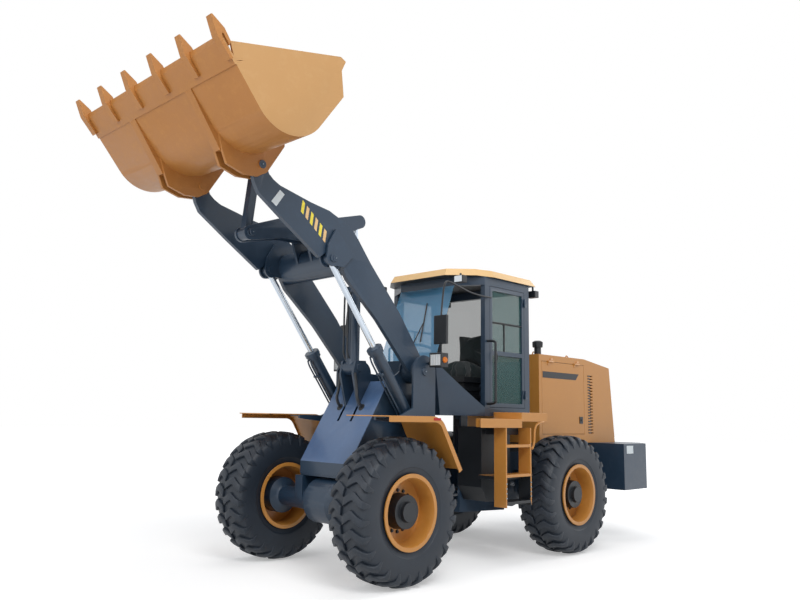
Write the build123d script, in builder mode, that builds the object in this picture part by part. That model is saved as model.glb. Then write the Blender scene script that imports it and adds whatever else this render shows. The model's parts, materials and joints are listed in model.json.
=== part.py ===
from build123d import *
from math import cos, sin, radians, degrees, atan2, hypot
import os

os.makedirs("parts", exist_ok=True)

# An articulated wheel loader, in millimetres: +X forward, +Y to its left, +Z up.
# It stands on the floor at z = 0, its centre plane is y = 0, and x = 0 is the middle of its length.
# Side-view points are (x, z) counted from the steering axis, which is half-way between the axles.

# ---- driving dimensions ------------------------------------------------------------------------
wheelbase = 2900.0
track = 1864.0
steering_limit = 38.0

tyre_radius = 685.0
tyre_width = 445.0
tyre_crown_width = 400.0
shoulder_drop = 45.0
bead_radius = 318.0
bead_width = 350.0
tyre_shoulder_radius = 590.0
rim_flange_radius = 352.0
rim_flange_thickness = 14.0
rim_wall = 16.0
rim_disc_thickness = 20.0
rim_disc_inset = 30.0
hub_radius = 165.0
hub_length = 125.0
hub_cap_radius = 95.0
hub_cap_length = 40.0
spindle_radius = 70.0
bearing_clearance = 0.05

pin_clearance = 0.05
face_clearance = 0.3

rear_reach = 3487.0
frame_half_width = 380.0
frame_plate = 30.0
frame_low = 470.0
frame_top = 1150.0

tower_inner_half = 387.0
tower_inner_plate = 20.0
tower_outer_half = 615.0
tower_outer_plate = 27.0
boom_pivot = (707.0, 2036.0)
boom_pivot_radius = 45.0
tower_round = 173.0

boom_pitch = 39.0
boom_length = 2795.0
arm_half = 525.0
arm_plate = 50.0
boom_hub_radius = 125.0
tip_radius = 90.0

bucket_pitch = 50.0
bucket_half_width = 1221.0
bucket_wall = 20.0
bucket_round = 402.0
bucket_round_centre = (478.0, 150.0)
bucket_back_lean = 14.7
bucket_back_top = (190.0, 670.0)
bucket_spill_tip = (500.0, 870.0)
bucket_floor_front = 880.0
blade_front = 1107.0
blade_thickness = 30.0
tooth_count = 6
tooth_edge = 17.25
tooth_width = 76.0
tooth_tip = (1266.0, -250.0)
bucket_pin_radius = 40.0
ear_plate = 30.0

link_pin_radius = 35.0
crank_plate = 30.0
crank_gap = 110.0

lift_base = (671.0, 1352.0)
lift_eye_on_boom = (1649.0, 0.0)
lift_barrel_radius = 62.0
lift_bore_radius = 48.0
lift_barrel_length = 1130.0
lift_rod_radius = 31.0
lift_half = 500.0

tilt_base = (1190.0, 2065.0)
tilt_barrel_radius = 72.0
tilt_bore_radius = 56.0
tilt_barrel_length = 880.0
tilt_rod_radius = 36.0

steer_base = (-690.0, 120.0)
steer_eye = (140.0, 270.0)
steer_height = 700.0
steer_barrel_radius = 45.0
steer_bore_radius = 34.0
steer_barrel_length = 560.0
steer_rod_radius = 22.0


# ---- places worked out from them ----------------------------------------------------------------
def turned(point, degrees_up):
    """The (x, z) point turned about the origin, upwards for a positive angle."""
    c, s = cos(radians(degrees_up)), sin(radians(degrees_up))
    return (point[0] * c - point[1] * s, point[0] * s + point[1] * c)


def on_boom(along, above):
    """Side-view place of a point given along the boom's line and above it."""
    dx, dz = turned((along, above), boom_pitch)
    return (boom_pivot[0] + dx, boom_pivot[1] + dz)


bucket_pin = on_boom(boom_length, 0.0)


def on_bucket(forward, up):
    """Side-view place of a point given in the bucket's own frame, from its hinge pin."""
    dx, dz = turned((forward, up), bucket_pitch)
    return (bucket_pin[0] + dx, bucket_pin[1] + dz)


front_reach = on_bucket(*tooth_tip)[0]
steer_x = (rear_reach - front_reach) / 2
front_axle = (wheelbase / 2, tyre_radius)
rear_axle = (-wheelbase / 2, tyre_radius)
crank_pivot = on_boom(1825.0, 317.0)
link_low = on_boom(2285.0, -243.0)
link_high = on_bucket(-90.0, 341.0)
crank_rear = on_boom(1408.0, 963.0)
lift_eye = on_boom(*lift_eye_on_boom)


def side(y, at=(0.0, 0.0), pitch=0.0):
    """A plane at width y, seen from the left: its x runs forward (or along pitch), its y up."""
    along = (cos(radians(pitch)), 0, sin(radians(pitch)))
    return Plane(origin=(steer_x + at[0], y, at[1]), x_dir=along, z_dir=(0, -1, 0))


def level(z, at=(0.0, 0.0)):
    """A horizontal plane at height z, its origin at (x, y) from the steering axis."""
    return Plane(origin=(steer_x + at[0], at[1], z), x_dir=(1, 0, 0), z_dir=(0, 0, 1))


def plate(outline, y_low, y_high, at=(0.0, 0.0), pitch=0.0, mode=Mode.ADD):
    """A flat plate with a side-view outline, from y_low to y_high."""
    with BuildSketch(side(y_high, at, pitch)) as profile:
        Polygon(*outline, align=None)
    extrude(profile.sketch, amount=y_high - y_low, mode=mode)


def disc(radius, y_low, y_high, at, mode=Mode.ADD):
    """A round bar, boss or bore across the machine."""
    with BuildSketch(side(y_high, at)) as profile:
        Circle(radius)
    extrude(profile.sketch, amount=y_high - y_low, mode=mode)


def block(x_span, y_span, z_span, mode=Mode.ADD):
    """A rectangular block given by its spans in x (from the steering axis), y and z."""
    with BuildSketch(level(z_span[0])) as profile:
        with Locations(((x_span[0] + x_span[1]) / 2, (y_span[0] + y_span[1]) / 2)):
            Rectangle(abs(x_span[1] - x_span[0]), abs(y_span[1] - y_span[0]))
    extrude(profile.sketch, amount=z_span[1] - z_span[0], mode=mode)


def hulled(circles, y_low, y_high):
    """A plate whose outline wraps the given circles (x, z, radius) one pair after another."""
    for first, second in zip(circles, circles[1:]):
        with BuildSketch(side(y_high)) as profile:
            for x, z, radius in (first, second):
                with Locations((x, z)):
                    Circle(radius)
            make_hull()
        extrude(profile.sketch, amount=y_high - y_low)


# ---- wheels -------------------------------------------------------------------------------------
half_bead = bead_width / 2
half_tyre = tyre_width / 2
half_crown = tyre_crown_width / 2

with BuildPart() as tyre:
    with BuildSketch(Plane.XY):
        with BuildLine():
            crown = Line((tyre_radius - shoulder_drop / 3, -half_crown + 60), (tyre_radius, 0))
            Line((tyre_radius, 0), (tyre_radius - shoulder_drop / 3, half_crown - 60))
            Line(crown @ 0, (tyre_radius - shoulder_drop, -half_crown))
            Line((tyre_radius - shoulder_drop / 3, half_crown - 60), (tyre_radius - shoulder_drop, half_crown))
            ThreePointArc(
                (tyre_radius - shoulder_drop, -half_crown), (510, -half_tyre), (bead_radius, -half_bead)
            )
            ThreePointArc(
                (tyre_radius - shoulder_drop, half_crown), (510, half_tyre), (bead_radius, half_bead)
            )
            Line((bead_radius, -half_bead), (bead_radius, half_bead))
        make_face()
    revolve(axis=Axis.Y)

rim_seat = bead_radius
flange_in = half_bead + 22
with BuildPart() as rim:
    # the barrel with its two flanges, turned about the axle
    with BuildSketch(Plane.XY):
        with BuildLine():
            Polyline(
                (rim_seat, -half_bead - 6),
                (rim_seat, half_bead + 6),
                (rim_flange_radius, flange_in + 8),
                (rim_flange_radius, flange_in + 8 + rim_flange_thickness),
                (rim_seat - 4, flange_in + 8 + rim_flange_thickness),
                (rim_seat - rim_wall, half_bead),
                (rim_seat - rim_wall, -half_bead),
                (rim_seat - 4, -flange_in - 8 - rim_flange_thickness),
                (rim_flange_radius, -flange_in - 8 - rim_flange_thickness),
                (rim_flange_radius, -flange_in - 8),
                close=True,
            )
        make_face()
    revolve(axis=Axis.Y)
    # the dished centre disc, the planetary hub and its cap
    with BuildSketch(Plane.XZ.offset(-rim_disc_inset)):
        Circle(rim_seat - rim_wall + 2)
    extrude(amount=rim_disc_thickness)
    with BuildSketch(Plane.XZ.offset(-rim_disc_inset)):
        Circle(hub_radius)
    extrude(amount=-hub_length, taper=4)
    with BuildSketch(Plane.XZ.offset(-rim_disc_inset - hub_length)):
        Circle(hub_cap_radius)
    extrude(amount=-hub_cap_length, taper=8)
    # the bore that runs on the spindle
    with BuildSketch(Plane.XZ.offset(-rim_disc_inset - hub_length / 2)):
        Circle(spindle_radius + bearing_clearance)
    extrude(amount=hub_length, mode=Mode.SUBTRACT)

corners = [
    ("front_left", front_axle, 1),
    ("front_right", front_axle, -1),
    ("rear_left", rear_axle, 1),
    ("rear_right", rear_axle, -1),
]
for corner, axle, hand in corners:
    turn = 0 if hand > 0 else 180
    place = Location((steer_x + axle[0], hand * track / 2, axle[1]), (0, 0, turn))
    tyre_here = tyre.part.moved(place)
    tyre_here.label = f"{corner}_tyre"
    export_step(tyre_here, f"parts/{corner}_tyre.step")
    rim_here = rim.part.moved(place)
    rim_here.label = f"{corner}_rim"
    export_step(rim_here, f"parts/{corner}_rim.step")

# ---- axles --------------------------------------------------------------------------------------
disc_face = track / 2 + rim_disc_inset - rim_disc_thickness - 10
spindle_end = track / 2 + rim_disc_inset + hub_length / 2 - face_clearance
axle_tube_radius = 105.0
brake_radius = 190.0
ball_radius = 225.0
pad_height = 60.0


def axle_casing(centre):
    """The axle's casing: ball, tapered arms, brake drums and spindles."""
    across = Plane(origin=(steer_x + centre[0], 0, centre[1]), x_dir=(0, 1, 0), z_dir=(1, 0, 0))
    with BuildSketch(across) as profile:
        with BuildLine():
            Polyline(
                (-spindle_end, 0), (-spindle_end, spindle_radius), (-disc_face, spindle_radius),
                (-disc_face, brake_radius), (-disc_face + 150, brake_radius),
                (-disc_face + 190, axle_tube_radius), (-ball_radius - 60, axle_tube_radius + 15),
                (-ball_radius + 60, ball_radius), (ball_radius - 60, ball_radius),
                (ball_radius + 60, axle_tube_radius + 15), (disc_face - 190, axle_tube_radius),
                (disc_face - 150, brake_radius), (disc_face, brake_radius),
                (disc_face, spindle_radius), (spindle_end, spindle_radius), (spindle_end, 0),
                close=True,
            )
        make_face()
    revolve(profile.sketch, axis=Axis((steer_x + centre[0], 0, centre[1]), (0, 1, 0)))


pad_half = 120.0
pad_y = 377.0
pad_top = front_axle[1] + ball_radius + 20
with BuildPart() as front_axle_casing:
    axle_casing(front_axle)
    for hand in (1, -1):
        block(
            (front_axle[0] - pad_half, front_axle[0] + pad_half),
            (hand * pad_y - 60, hand * pad_y + 60),
            (front_axle[1], pad_top),
        )
    plate([(0, -70), (-300, -70), (-300, 70), (0, 70)], -90, 90, at=front_axle)
front_axle_casing.part.label = "front_axle"
export_step(front_axle_casing.part, "parts/front_axle.step")

rear_trunnion = 250.0
with BuildPart() as rear_axle_casing:
    axle_casing(rear_axle)
    for hand in (1, -1):
        block(
            (rear_axle[0] - pad_half, rear_axle[0] + pad_half),
            (hand * (frame_half_width - frame_plate / 2) - 60, hand * (frame_half_width - frame_plate / 2) + 60),
            (rear_axle[1], pad_top),
        )
    plate([(0, -70), (300, -70), (300, 70), (0, 70)], -90, 90, at=rear_axle)
rear_axle_casing.part.label = "rear_axle"
export_step(rear_axle_casing.part, "parts/rear_axle.step")

# ---- front frame: tower plates, steering ears, clevis for the tilt cylinder ----------------------
ear_half = 190.0
steer_pin_radius = 40.0
steer_ear_thickness = 60.0
upper_ear = (1060.0, 1060.0 + steer_ear_thickness)
lower_ear = (500.0, 500.0 + steer_ear_thickness)
fork_plate = 30.0
nose = (1542.0, 1079.0)
cover_top = (1022.0, 1934.0)
cover_thickness = 8.0
clevis_low = 85.0
clevis_high = 115.0
tilt_pin_radius = 40.0
lift_pin_radius = 38.0
outer_plate_low = tower_outer_half - tower_outer_plate
inner_plate_low = tower_inner_half - tower_inner_plate
lift_width = 76.0

tower_rear = boom_pivot[0] - 147.0
fender_in = tower_outer_half
fender_out = 1171.0
fender_sheet = 10.0
fender_line = 1562.0
fender_under = fender_line - fender_sheet / 2
with BuildPart() as front_frame:
    # inner plates, from the steering ears to the nose and up to the boom pivots
    plate(
        [
            (230, 480), (860, 480), (1200, pad_top), (nose[0], pad_top), (nose[0], nose[1] - cover_thickness),
            (cover_top[0], cover_top[1] - 10), (boom_pivot[0] + 150, boom_pivot[1]),
            (tower_rear, boom_pivot[1]), (tower_rear, 1500), (300, 1180), (230, 1180),
        ],
        inner_plate_low, tower_inner_half,
    )
    disc(150, inner_plate_low, tower_inner_half, boom_pivot)
    # outer plates
    plate(
        [
            (boom_pivot[0] - tower_round, boom_pivot[1]), (boom_pivot[0] - tower_round, 1300),
            (lift_base[0] - 90, 1240), (lift_base[0] + 120, 1240), (boom_pivot[0] + tower_round, 1330),
            (boom_pivot[0] + tower_round, boom_pivot[1]),
        ],
        outer_plate_low, tower_outer_half,
    )
    disc(tower_round, outer_plate_low, tower_outer_half, boom_pivot)
    # rear web joining inner and outer plates, and the fender brackets
    block((tower_rear - 20, tower_rear + 10), (tower_inner_half, outer_plate_low), (1500, 1800))
    plate(
        [(760, 1420), (1000, 1480), (1420, 1520), (1420, fender_under), (1100, fender_under), (760, 1700)],
        outer_plate_low, tower_outer_half,
    )
    block((1200, 1420), (tower_outer_half - 5, 760), (fender_under - 12, fender_under))
    # pins of the boom and of the lift cylinders
    disc(boom_pivot_radius, inner_plate_low, tower_outer_half + 12, boom_pivot)
    disc(lift_pin_radius, inner_plate_low, tower_outer_half + 12, lift_base)
    mirror(about=Plane.XZ)
    # cross walls between the inner plates
    block((640, 660), (-inner_plate_low, inner_plate_low), (1180, 1990))
    block((230, 860), (-inner_plate_low, inner_plate_low), (480, 500))
    block((230, 660), (-inner_plate_low, inner_plate_low), (1160, 1180))
    block((1522, nose[0]), (-inner_plate_low, inner_plate_low), (pad_top, nose[1] - 20))
    block((1180, 1542), (-inner_plate_low, inner_plate_low), (pad_top, pad_top + 20))
    # steering ears
    for low, high in (upper_ear, lower_ear):
        with BuildSketch(level(low)):
            Circle(105)
            Polygon((0, -105), (240, -ear_half), (240, ear_half), (0, 105), align=None)
            Circle(steer_pin_radius + pin_clearance, mode=Mode.SUBTRACT)
        extrude(amount=high - low)
    block((230, 255), (-inner_plate_low, inner_plate_low), (480, 1180))
    # clevis plates of the tilt cylinder
    for hand in (1, -1):
        plate(
            [
                (1049, 2010), (1100, 2065 + 80), (1250, 2065 + 75), (1280, 2000), (1222, 1774),
                (1180, 1640), (1010, 1850), (660, 1900), (660, 1990),
            ],
            min(hand * clevis_low, hand * clevis_high), max(hand * clevis_low, hand * clevis_high),
        )
    disc(tilt_pin_radius, -clevis_high - 10, clevis_high + 10, tilt_base)
    # forks of the steering cylinders' rod eyes
    for hand in (1, -1):
        for low in (steer_height + 32, steer_height - 52):
            with BuildSketch(level(low)):
                with Locations((steer_eye[0], hand * steer_eye[1])):
                    Circle(50)
                Polygon(
                    (steer_eye[0] - 10, hand * (steer_eye[1] - 49)), (235, hand * 190),
                    (235, hand * 350), (steer_eye[0] - 10, hand * (steer_eye[1] + 49)), align=None,
                )
            extrude(amount=20)
front_frame.part.label = "front_frame"
export_step(front_frame.part, "parts/front_frame.step")

# ---- front cover --------------------------------------------------------------------------------
cover_half = inner_plate_low - 1
slope = degrees(atan2(cover_top[1] - nose[1], cover_top[0] - nose[0]))
with BuildPart() as front_cover:
    along = (nose[0] - cover_top[0], nose[1] - cover_top[1])
    run = hypot(*along)
    out = (-along[1] / run, along[0] / run)
    lift = cover_thickness
    plate(
        [
            (nose[0], nose[1] - cover_thickness), (cover_top[0], cover_top[1] - 10),
            (cover_top[0] + out[0] * lift, cover_top[1] - 10 + out[1] * lift),
            (nose[0] + 8, nose[1]), (nose[0] + 8, 950), (nose[0], 950),
        ],
        -tower_inner_half, tower_inner_half,
    )
    # slots for the clevis plates
    for hand in (1, -1):
        block(
            (980, 1300), (hand * 100 - 17, hand * 100 + 17), (1500, 1960), mode=Mode.SUBTRACT
        )
front_cover.part.label = "front_cover"
export_step(front_cover.part, "parts/front_cover.step")

# ---- front fenders ------------------------------------------------------------------------------
with BuildPart() as front_fenders:
    with BuildSketch(side(fender_out)):
        with BuildLine():
            FilletPolyline((1812, fender_line), (1090, fender_line), (790, 1060), radius=160)
        trace(line_width=fender_sheet)
    extrude(amount=fender_out - fender_in)
    # down-turned outer edge
    with BuildSketch(side(fender_out)):
        with BuildLine():
            FilletPolyline((1780, 1535), (1075, 1535), (770, 1036), radius=150)
        trace(line_width=50)
    extrude(amount=fender_sheet)
    mirror(about=Plane.XZ)
front_fenders.part.label = "front_fenders"
export_step(front_fenders.part, "parts/front_fenders.step")

# ---- headlights ---------------------------------------------------------------------------------
with BuildPart() as headlights:
    block((610, 650), (tower_outer_half, 700), (2110, 2140))
    block((600, 700), (700, 850), (2080, 2230))
    mirror(about=Plane.XZ)
headlights.part.label = "headlights"
export_step(headlights.part, "parts/headlights.step")

# ---- boom ---------------------------------------------------------------------------------------
arm_low = arm_half - arm_plate
arm_outline = [
    (0, -110), (810, -10), (1400, 5), (1640, -70), (1750, -96), (2219, -148), (2626, -185), (2721, -150),
    (2838, -78), (2795, 0), (2795, 100), (2674, 35), (2605, 35), (2523, 53), (2437, 96), (2178, 225),
    (1974, 344), (1720, 425), (1627, 432), (1535, 423), (1248, 364), (618, 276), (0, 125),
]
beam_at = on_boom(1480, 200)
arm_gap = 2 * arm_low
bracket_low = 100.0
bracket_high = 130.0
notch_radius = 66.0
slot_depth = 60.0
lift_ear_plate = 24.0
with BuildPart() as boom:
    plate(arm_outline, arm_low, arm_half, at=boom_pivot, pitch=boom_pitch)
    disc(boom_hub_radius, tower_inner_half + face_clearance, outer_plate_low - face_clearance, boom_pivot)
    disc(tip_radius, arm_low - 15 + face_clearance, arm_half + 15 - face_clearance, bucket_pin)
    # slot for the lift cylinder's eye, open downwards
    with BuildSketch(side(arm_half, lift_eye, boom_pitch)):
        with Locations((0, slot_depth)):
            Circle(notch_radius)
        Polygon(
            (-notch_radius, slot_depth + 20), (-330, -10), (-330, -200), (notch_radius + 60, -200),
            (notch_radius, slot_depth), align=None,
        )
    extrude(amount=arm_plate, mode=Mode.SUBTRACT)
    # ears on both sides of the slot, with the pads that join them to the arm and stubs of the pin
    for face, turn in ((arm_half, 1), (arm_low, -1)):
        pad_to = lift_half + turn * (lift_rod_radius + 5)
        ear_to = pad_to + turn * lift_ear_plate
        with BuildSketch(side(max(face, pad_to), lift_eye, boom_pitch)):
            Polygon((-170, 230), (-100, 160), (110, 160), (160, 250), align=None)
        extrude(amount=abs(pad_to - face))
        with BuildSketch(side(max(pad_to, ear_to), lift_eye, boom_pitch)):
            Circle(80)
            Polygon((-170, 230), (-160, 40), (-30, -72), (60, -50), (130, 60), (160, 250), align=None)
        extrude(amount=lift_ear_plate)
        disc(lift_pin_radius, min(ear_to, ear_to + turn * 12), max(ear_to, ear_to + turn * 12), lift_eye)
    disc(boom_pivot_radius + pin_clearance, tower_inner_half, outer_plate_low, boom_pivot, mode=Mode.SUBTRACT)
    disc(bucket_pin_radius + pin_clearance, arm_low - 20, arm_half + 20, bucket_pin, mode=Mode.SUBTRACT)
    mirror(about=Plane.XZ)
    # cross beam
    disc(165, -arm_low, arm_low, beam_at)
    # bracket plates of the bellcrank, and its pin
    for hand in (1, -1):
        hulled(
            [(*beam_at, 160), (*crank_pivot, 85)],
            min(hand * bracket_low, hand * bracket_high), max(hand * bracket_low, hand * bracket_high),
        )
    disc(50, -bracket_high - 12, bracket_high + 12, crank_pivot)
boom.part.label = "boom"
export_step(boom.part, "parts/boom.step")

# ---- bellcrank and link ---------------------------------------------------------------------------
crank_low = crank_gap / 2
crank_high = crank_low + crank_plate
crank_chain = [
    (*link_low, 72), (*on_boom(2060, 90), 100), (*crank_pivot, 115), (*on_boom(1600, 650), 95), (*crank_rear, 72)
]
with BuildPart() as bellcrank:
    hulled(crank_chain, crank_low, crank_high)
    mirror(about=Plane.XZ)
    disc(85, -bracket_low + face_clearance, bracket_low - face_clearance, crank_pivot)
    disc(link_pin_radius, -crank_high - 12, crank_high + 12, link_low)
    disc(50 + pin_clearance, -bracket_low, bracket_low, crank_pivot, mode=Mode.SUBTRACT)
bellcrank.part.label = "bellcrank"
export_step(bellcrank.part, "parts/bellcrank.step")

link_half = 40.0
with BuildPart() as tilt_link:
    hulled([(*link_low, 40), (*link_high, 40)], -link_half, link_half)
    disc(62, -crank_low + face_clearance, crank_low - face_clearance, link_low)
    disc(58, -link_half, link_half, link_high)
    disc(link_pin_radius + pin_clearance, -crank_low, crank_low, link_low, mode=Mode.SUBTRACT)
    disc(link_pin_radius, -link_half, link_half, link_high, mode=Mode.SUBTRACT)
tilt_link.part.label = "tilt_link"
export_step(tilt_link.part, "parts/tilt_link.step")


# ---- cylinders ------------------------------------------------------------------------------------
def cylinder_plane(base, eye, y, distance):
    """A plane across a cylinder's axis, at a distance from its base pin, in side view."""
    along = (eye[0] - base[0], 0, eye[1] - base[1])
    length = hypot(along[0], along[2])
    at = [base[i] + (eye[i] - base[i]) * distance / length for i in (0, 1)]
    return Plane(origin=(steer_x + at[0], y, at[1]), x_dir=(0, 1, 0), z_dir=along)


def bar(base, eye, y, start, end, radius, mode=Mode.ADD):
    """A round stretch of a cylinder, from start to end along its axis."""
    with BuildSketch(cylinder_plane(base, eye, y, start)) as profile:
        Circle(radius)
    extrude(profile.sketch, amount=end - start, mode=mode)


rod_clearance = 0.05
piston_back = 130.0
lift_length = hypot(lift_eye[0] - lift_base[0], lift_eye[1] - lift_base[1])
lift_piston_at = lift_barrel_length - piston_back
with BuildPart() as lift_barrels:
    bar(lift_base, lift_eye, lift_half, 0, lift_barrel_length - 75, lift_barrel_radius)
    bar(lift_base, lift_eye, lift_half, lift_barrel_length - 75, lift_barrel_length, lift_barrel_radius + 16)
    disc(68, tower_inner_half + 60, outer_plate_low - 30, lift_base)
    bar(lift_base, lift_eye, lift_half, 100, lift_barrel_length - 65, lift_bore_radius, mode=Mode.SUBTRACT)
    bar(
        lift_base, lift_eye, lift_half, lift_barrel_length - 80, lift_barrel_length + 1,
        lift_rod_radius + rod_clearance, mode=Mode.SUBTRACT,
    )
    disc(lift_pin_radius + pin_clearance, tower_inner_half, outer_plate_low, lift_base, mode=Mode.SUBTRACT)
    mirror(about=Plane.XZ)
lift_barrels.part.label = "lift_barrels"
export_step(lift_barrels.part, "parts/lift_barrels.step")

with BuildPart() as lift_rods:
    bar(lift_base, lift_eye, lift_half, lift_piston_at - 20, lift_length - 40, lift_rod_radius)
    bar(lift_base, lift_eye, lift_half, lift_piston_at - 20, lift_piston_at + 20, lift_bore_radius - 0.3)
    disc(56, lift_half - 30, lift_half + 30, lift_eye)
    disc(lift_pin_radius, lift_half - 30, lift_half + 30, lift_eye, mode=Mode.SUBTRACT)
    mirror(about=Plane.XZ)
lift_rods.part.label = "lift_rods"
export_step(lift_rods.part, "parts/lift_rods.step")

tilt_length = hypot(crank_rear[0] - tilt_base[0], crank_rear[1] - tilt_base[1])
tilt_piston_at = tilt_barrel_length - piston_back - 50
with BuildPart() as tilt_barrel:
    bar(tilt_base, crank_rear, 0, 0, tilt_barrel_length - 70, tilt_barrel_radius)
    bar(tilt_base, crank_rear, 0, tilt_barrel_length - 70, tilt_barrel_length, tilt_barrel_radius + 14)
    disc(74, -clevis_low + face_clearance, clevis_low - face_clearance, tilt_base)
    bar(tilt_base, crank_rear, 0, 100, tilt_barrel_length - 60, tilt_bore_radius, mode=Mode.SUBTRACT)
    bar(
        tilt_base, crank_rear, 0, tilt_barrel_length - 75, tilt_barrel_length + 1,
        tilt_rod_radius + rod_clearance, mode=Mode.SUBTRACT,
    )
    disc(tilt_pin_radius + pin_clearance, -clevis_low, clevis_low, tilt_base, mode=Mode.SUBTRACT)
tilt_barrel.part.label = "tilt_barrel"
export_step(tilt_barrel.part, "parts/tilt_barrel.step")

with BuildPart() as tilt_rod:
    bar(tilt_base, crank_rear, 0, tilt_piston_at - 20, tilt_length - 40, tilt_rod_radius)
    bar(tilt_base, crank_rear, 0, tilt_piston_at - 20, tilt_piston_at + 20, tilt_bore_radius - 0.3)
    disc(60, -45, 45, crank_rear)
    disc(link_pin_radius, -45, 45, crank_rear, mode=Mode.SUBTRACT)
tilt_rod.part.label = "tilt_rod"
export_step(tilt_rod.part, "parts/tilt_rod.step")


def steer_plane(hand, distance):
    """A plane across a steering cylinder's axis, at a distance from its base pin."""
    along = (steer_eye[0] - steer_base[0], hand * (steer_eye[1] - steer_base[1]), 0)
    length = hypot(along[0], along[1])
    at = (steer_base[0] + along[0] * distance / length, hand * steer_base[1] + along[1] * distance / length)
    return Plane(origin=(steer_x + at[0], at[1], steer_height), x_dir=(0, 0, 1), z_dir=along)


def steer_bar(hand, start, end, radius, mode=Mode.ADD):
    """A round stretch of a steering cylinder."""
    with BuildSketch(steer_plane(hand, start)) as profile:
        Circle(radius)
    extrude(profile.sketch, amount=end - start, mode=mode)


def upright(radius, z_low, z_high, at, mode=Mode.ADD):
    """A vertical round bar or bore at (x, y) from the steering axis."""
    with BuildSketch(level(z_low, at)) as profile:
        Circle(radius)
    extrude(profile.sketch, amount=z_high - z_low, mode=mode)


steer_length = hypot(steer_eye[0] - steer_base[0], steer_eye[1] - steer_base[1])
steer_piston_at = steer_barrel_length / 2 + 40
steer_pin_bore = 22.0
for word, hand in (("left", 1), ("right", -1)):
    base_at = (steer_base[0], hand * steer_base[1])
    eye_at = (steer_eye[0], hand * steer_eye[1])
    with BuildPart() as steer_barrel:
        steer_bar(hand, 0, 80, 28)
        steer_bar(hand, 70, steer_barrel_length, steer_barrel_radius)
        upright(48, steer_height - 30, steer_height + 30, base_at)
        steer_bar(hand, 95, steer_barrel_length - 30, steer_bore_radius, mode=Mode.SUBTRACT)
        steer_bar(
            hand, steer_barrel_length - 40, steer_barrel_length + 1,
            steer_rod_radius + rod_clearance, mode=Mode.SUBTRACT,
        )
        upright(steer_pin_bore + pin_clearance, steer_height - 60, steer_height + 60, base_at, mode=Mode.SUBTRACT)
    steer_barrel.part.label = f"steer_barrel_{word}"
    export_step(steer_barrel.part, f"parts/steer_barrel_{word}.step")

    with BuildPart() as steer_rod:
        steer_bar(hand, steer_piston_at - 15, steer_length - 25, steer_rod_radius)
        steer_bar(hand, steer_piston_at - 15, steer_piston_at + 15, steer_bore_radius - 0.3)
        upright(38, steer_height - 26, steer_height + 26, eye_at)
        upright(steer_pin_bore, steer_height - 30, steer_height + 30, eye_at, mode=Mode.SUBTRACT)
    steer_rod.part.label = f"steer_rod_{word}"
    export_step(steer_rod.part, f"parts/steer_rod_{word}.step")

# ---- bucket ---------------------------------------------------------------------------------------
cu, cw = bucket_round_centre
lean = radians(bucket_back_lean)
back_dir = (sin(lean), cos(lean))
spill = (bucket_spill_tip[0] - bucket_back_top[0], bucket_spill_tip[1] - bucket_back_top[1])
spill_length = hypot(*spill)
back_normal = (cos(lean), -sin(lean))
spill_normal = (spill[1] / spill_length, -spill[0] / spill_length)
corner_share = 1 + back_normal[0] * spill_normal[0] + back_normal[1] * spill_normal[1]


def bucket_profile(inset, front):
    """The closed side profile of the bucket, moved inwards by inset, in its own frame."""
    r = bucket_round - inset
    floor = cw - r
    start = (cu, floor)
    middle = (cu - r * cos(radians(37)), cw - r * sin(radians(37)))
    end = (cu - r * cos(lean), cw + r * sin(lean))
    corner = tuple(
        bucket_back_top[i] + inset * (back_normal[i] + spill_normal[i]) / corner_share for i in (0, 1)
    )
    tip = tuple(
        bucket_spill_tip[i] + inset * spill_normal[i] + (front - bucket_floor_front) * spill[i] / spill_length
        for i in (0, 1)
    )
    with BuildLine() as outline:
        ThreePointArc(start, middle, end)
        Polyline(end, corner, tip, (front, floor), start)
    make_face(outline.edges())


def bucket_side(y):
    """The bucket's own side-view plane at width y."""
    return side(y, bucket_pin, bucket_pitch)


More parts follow.
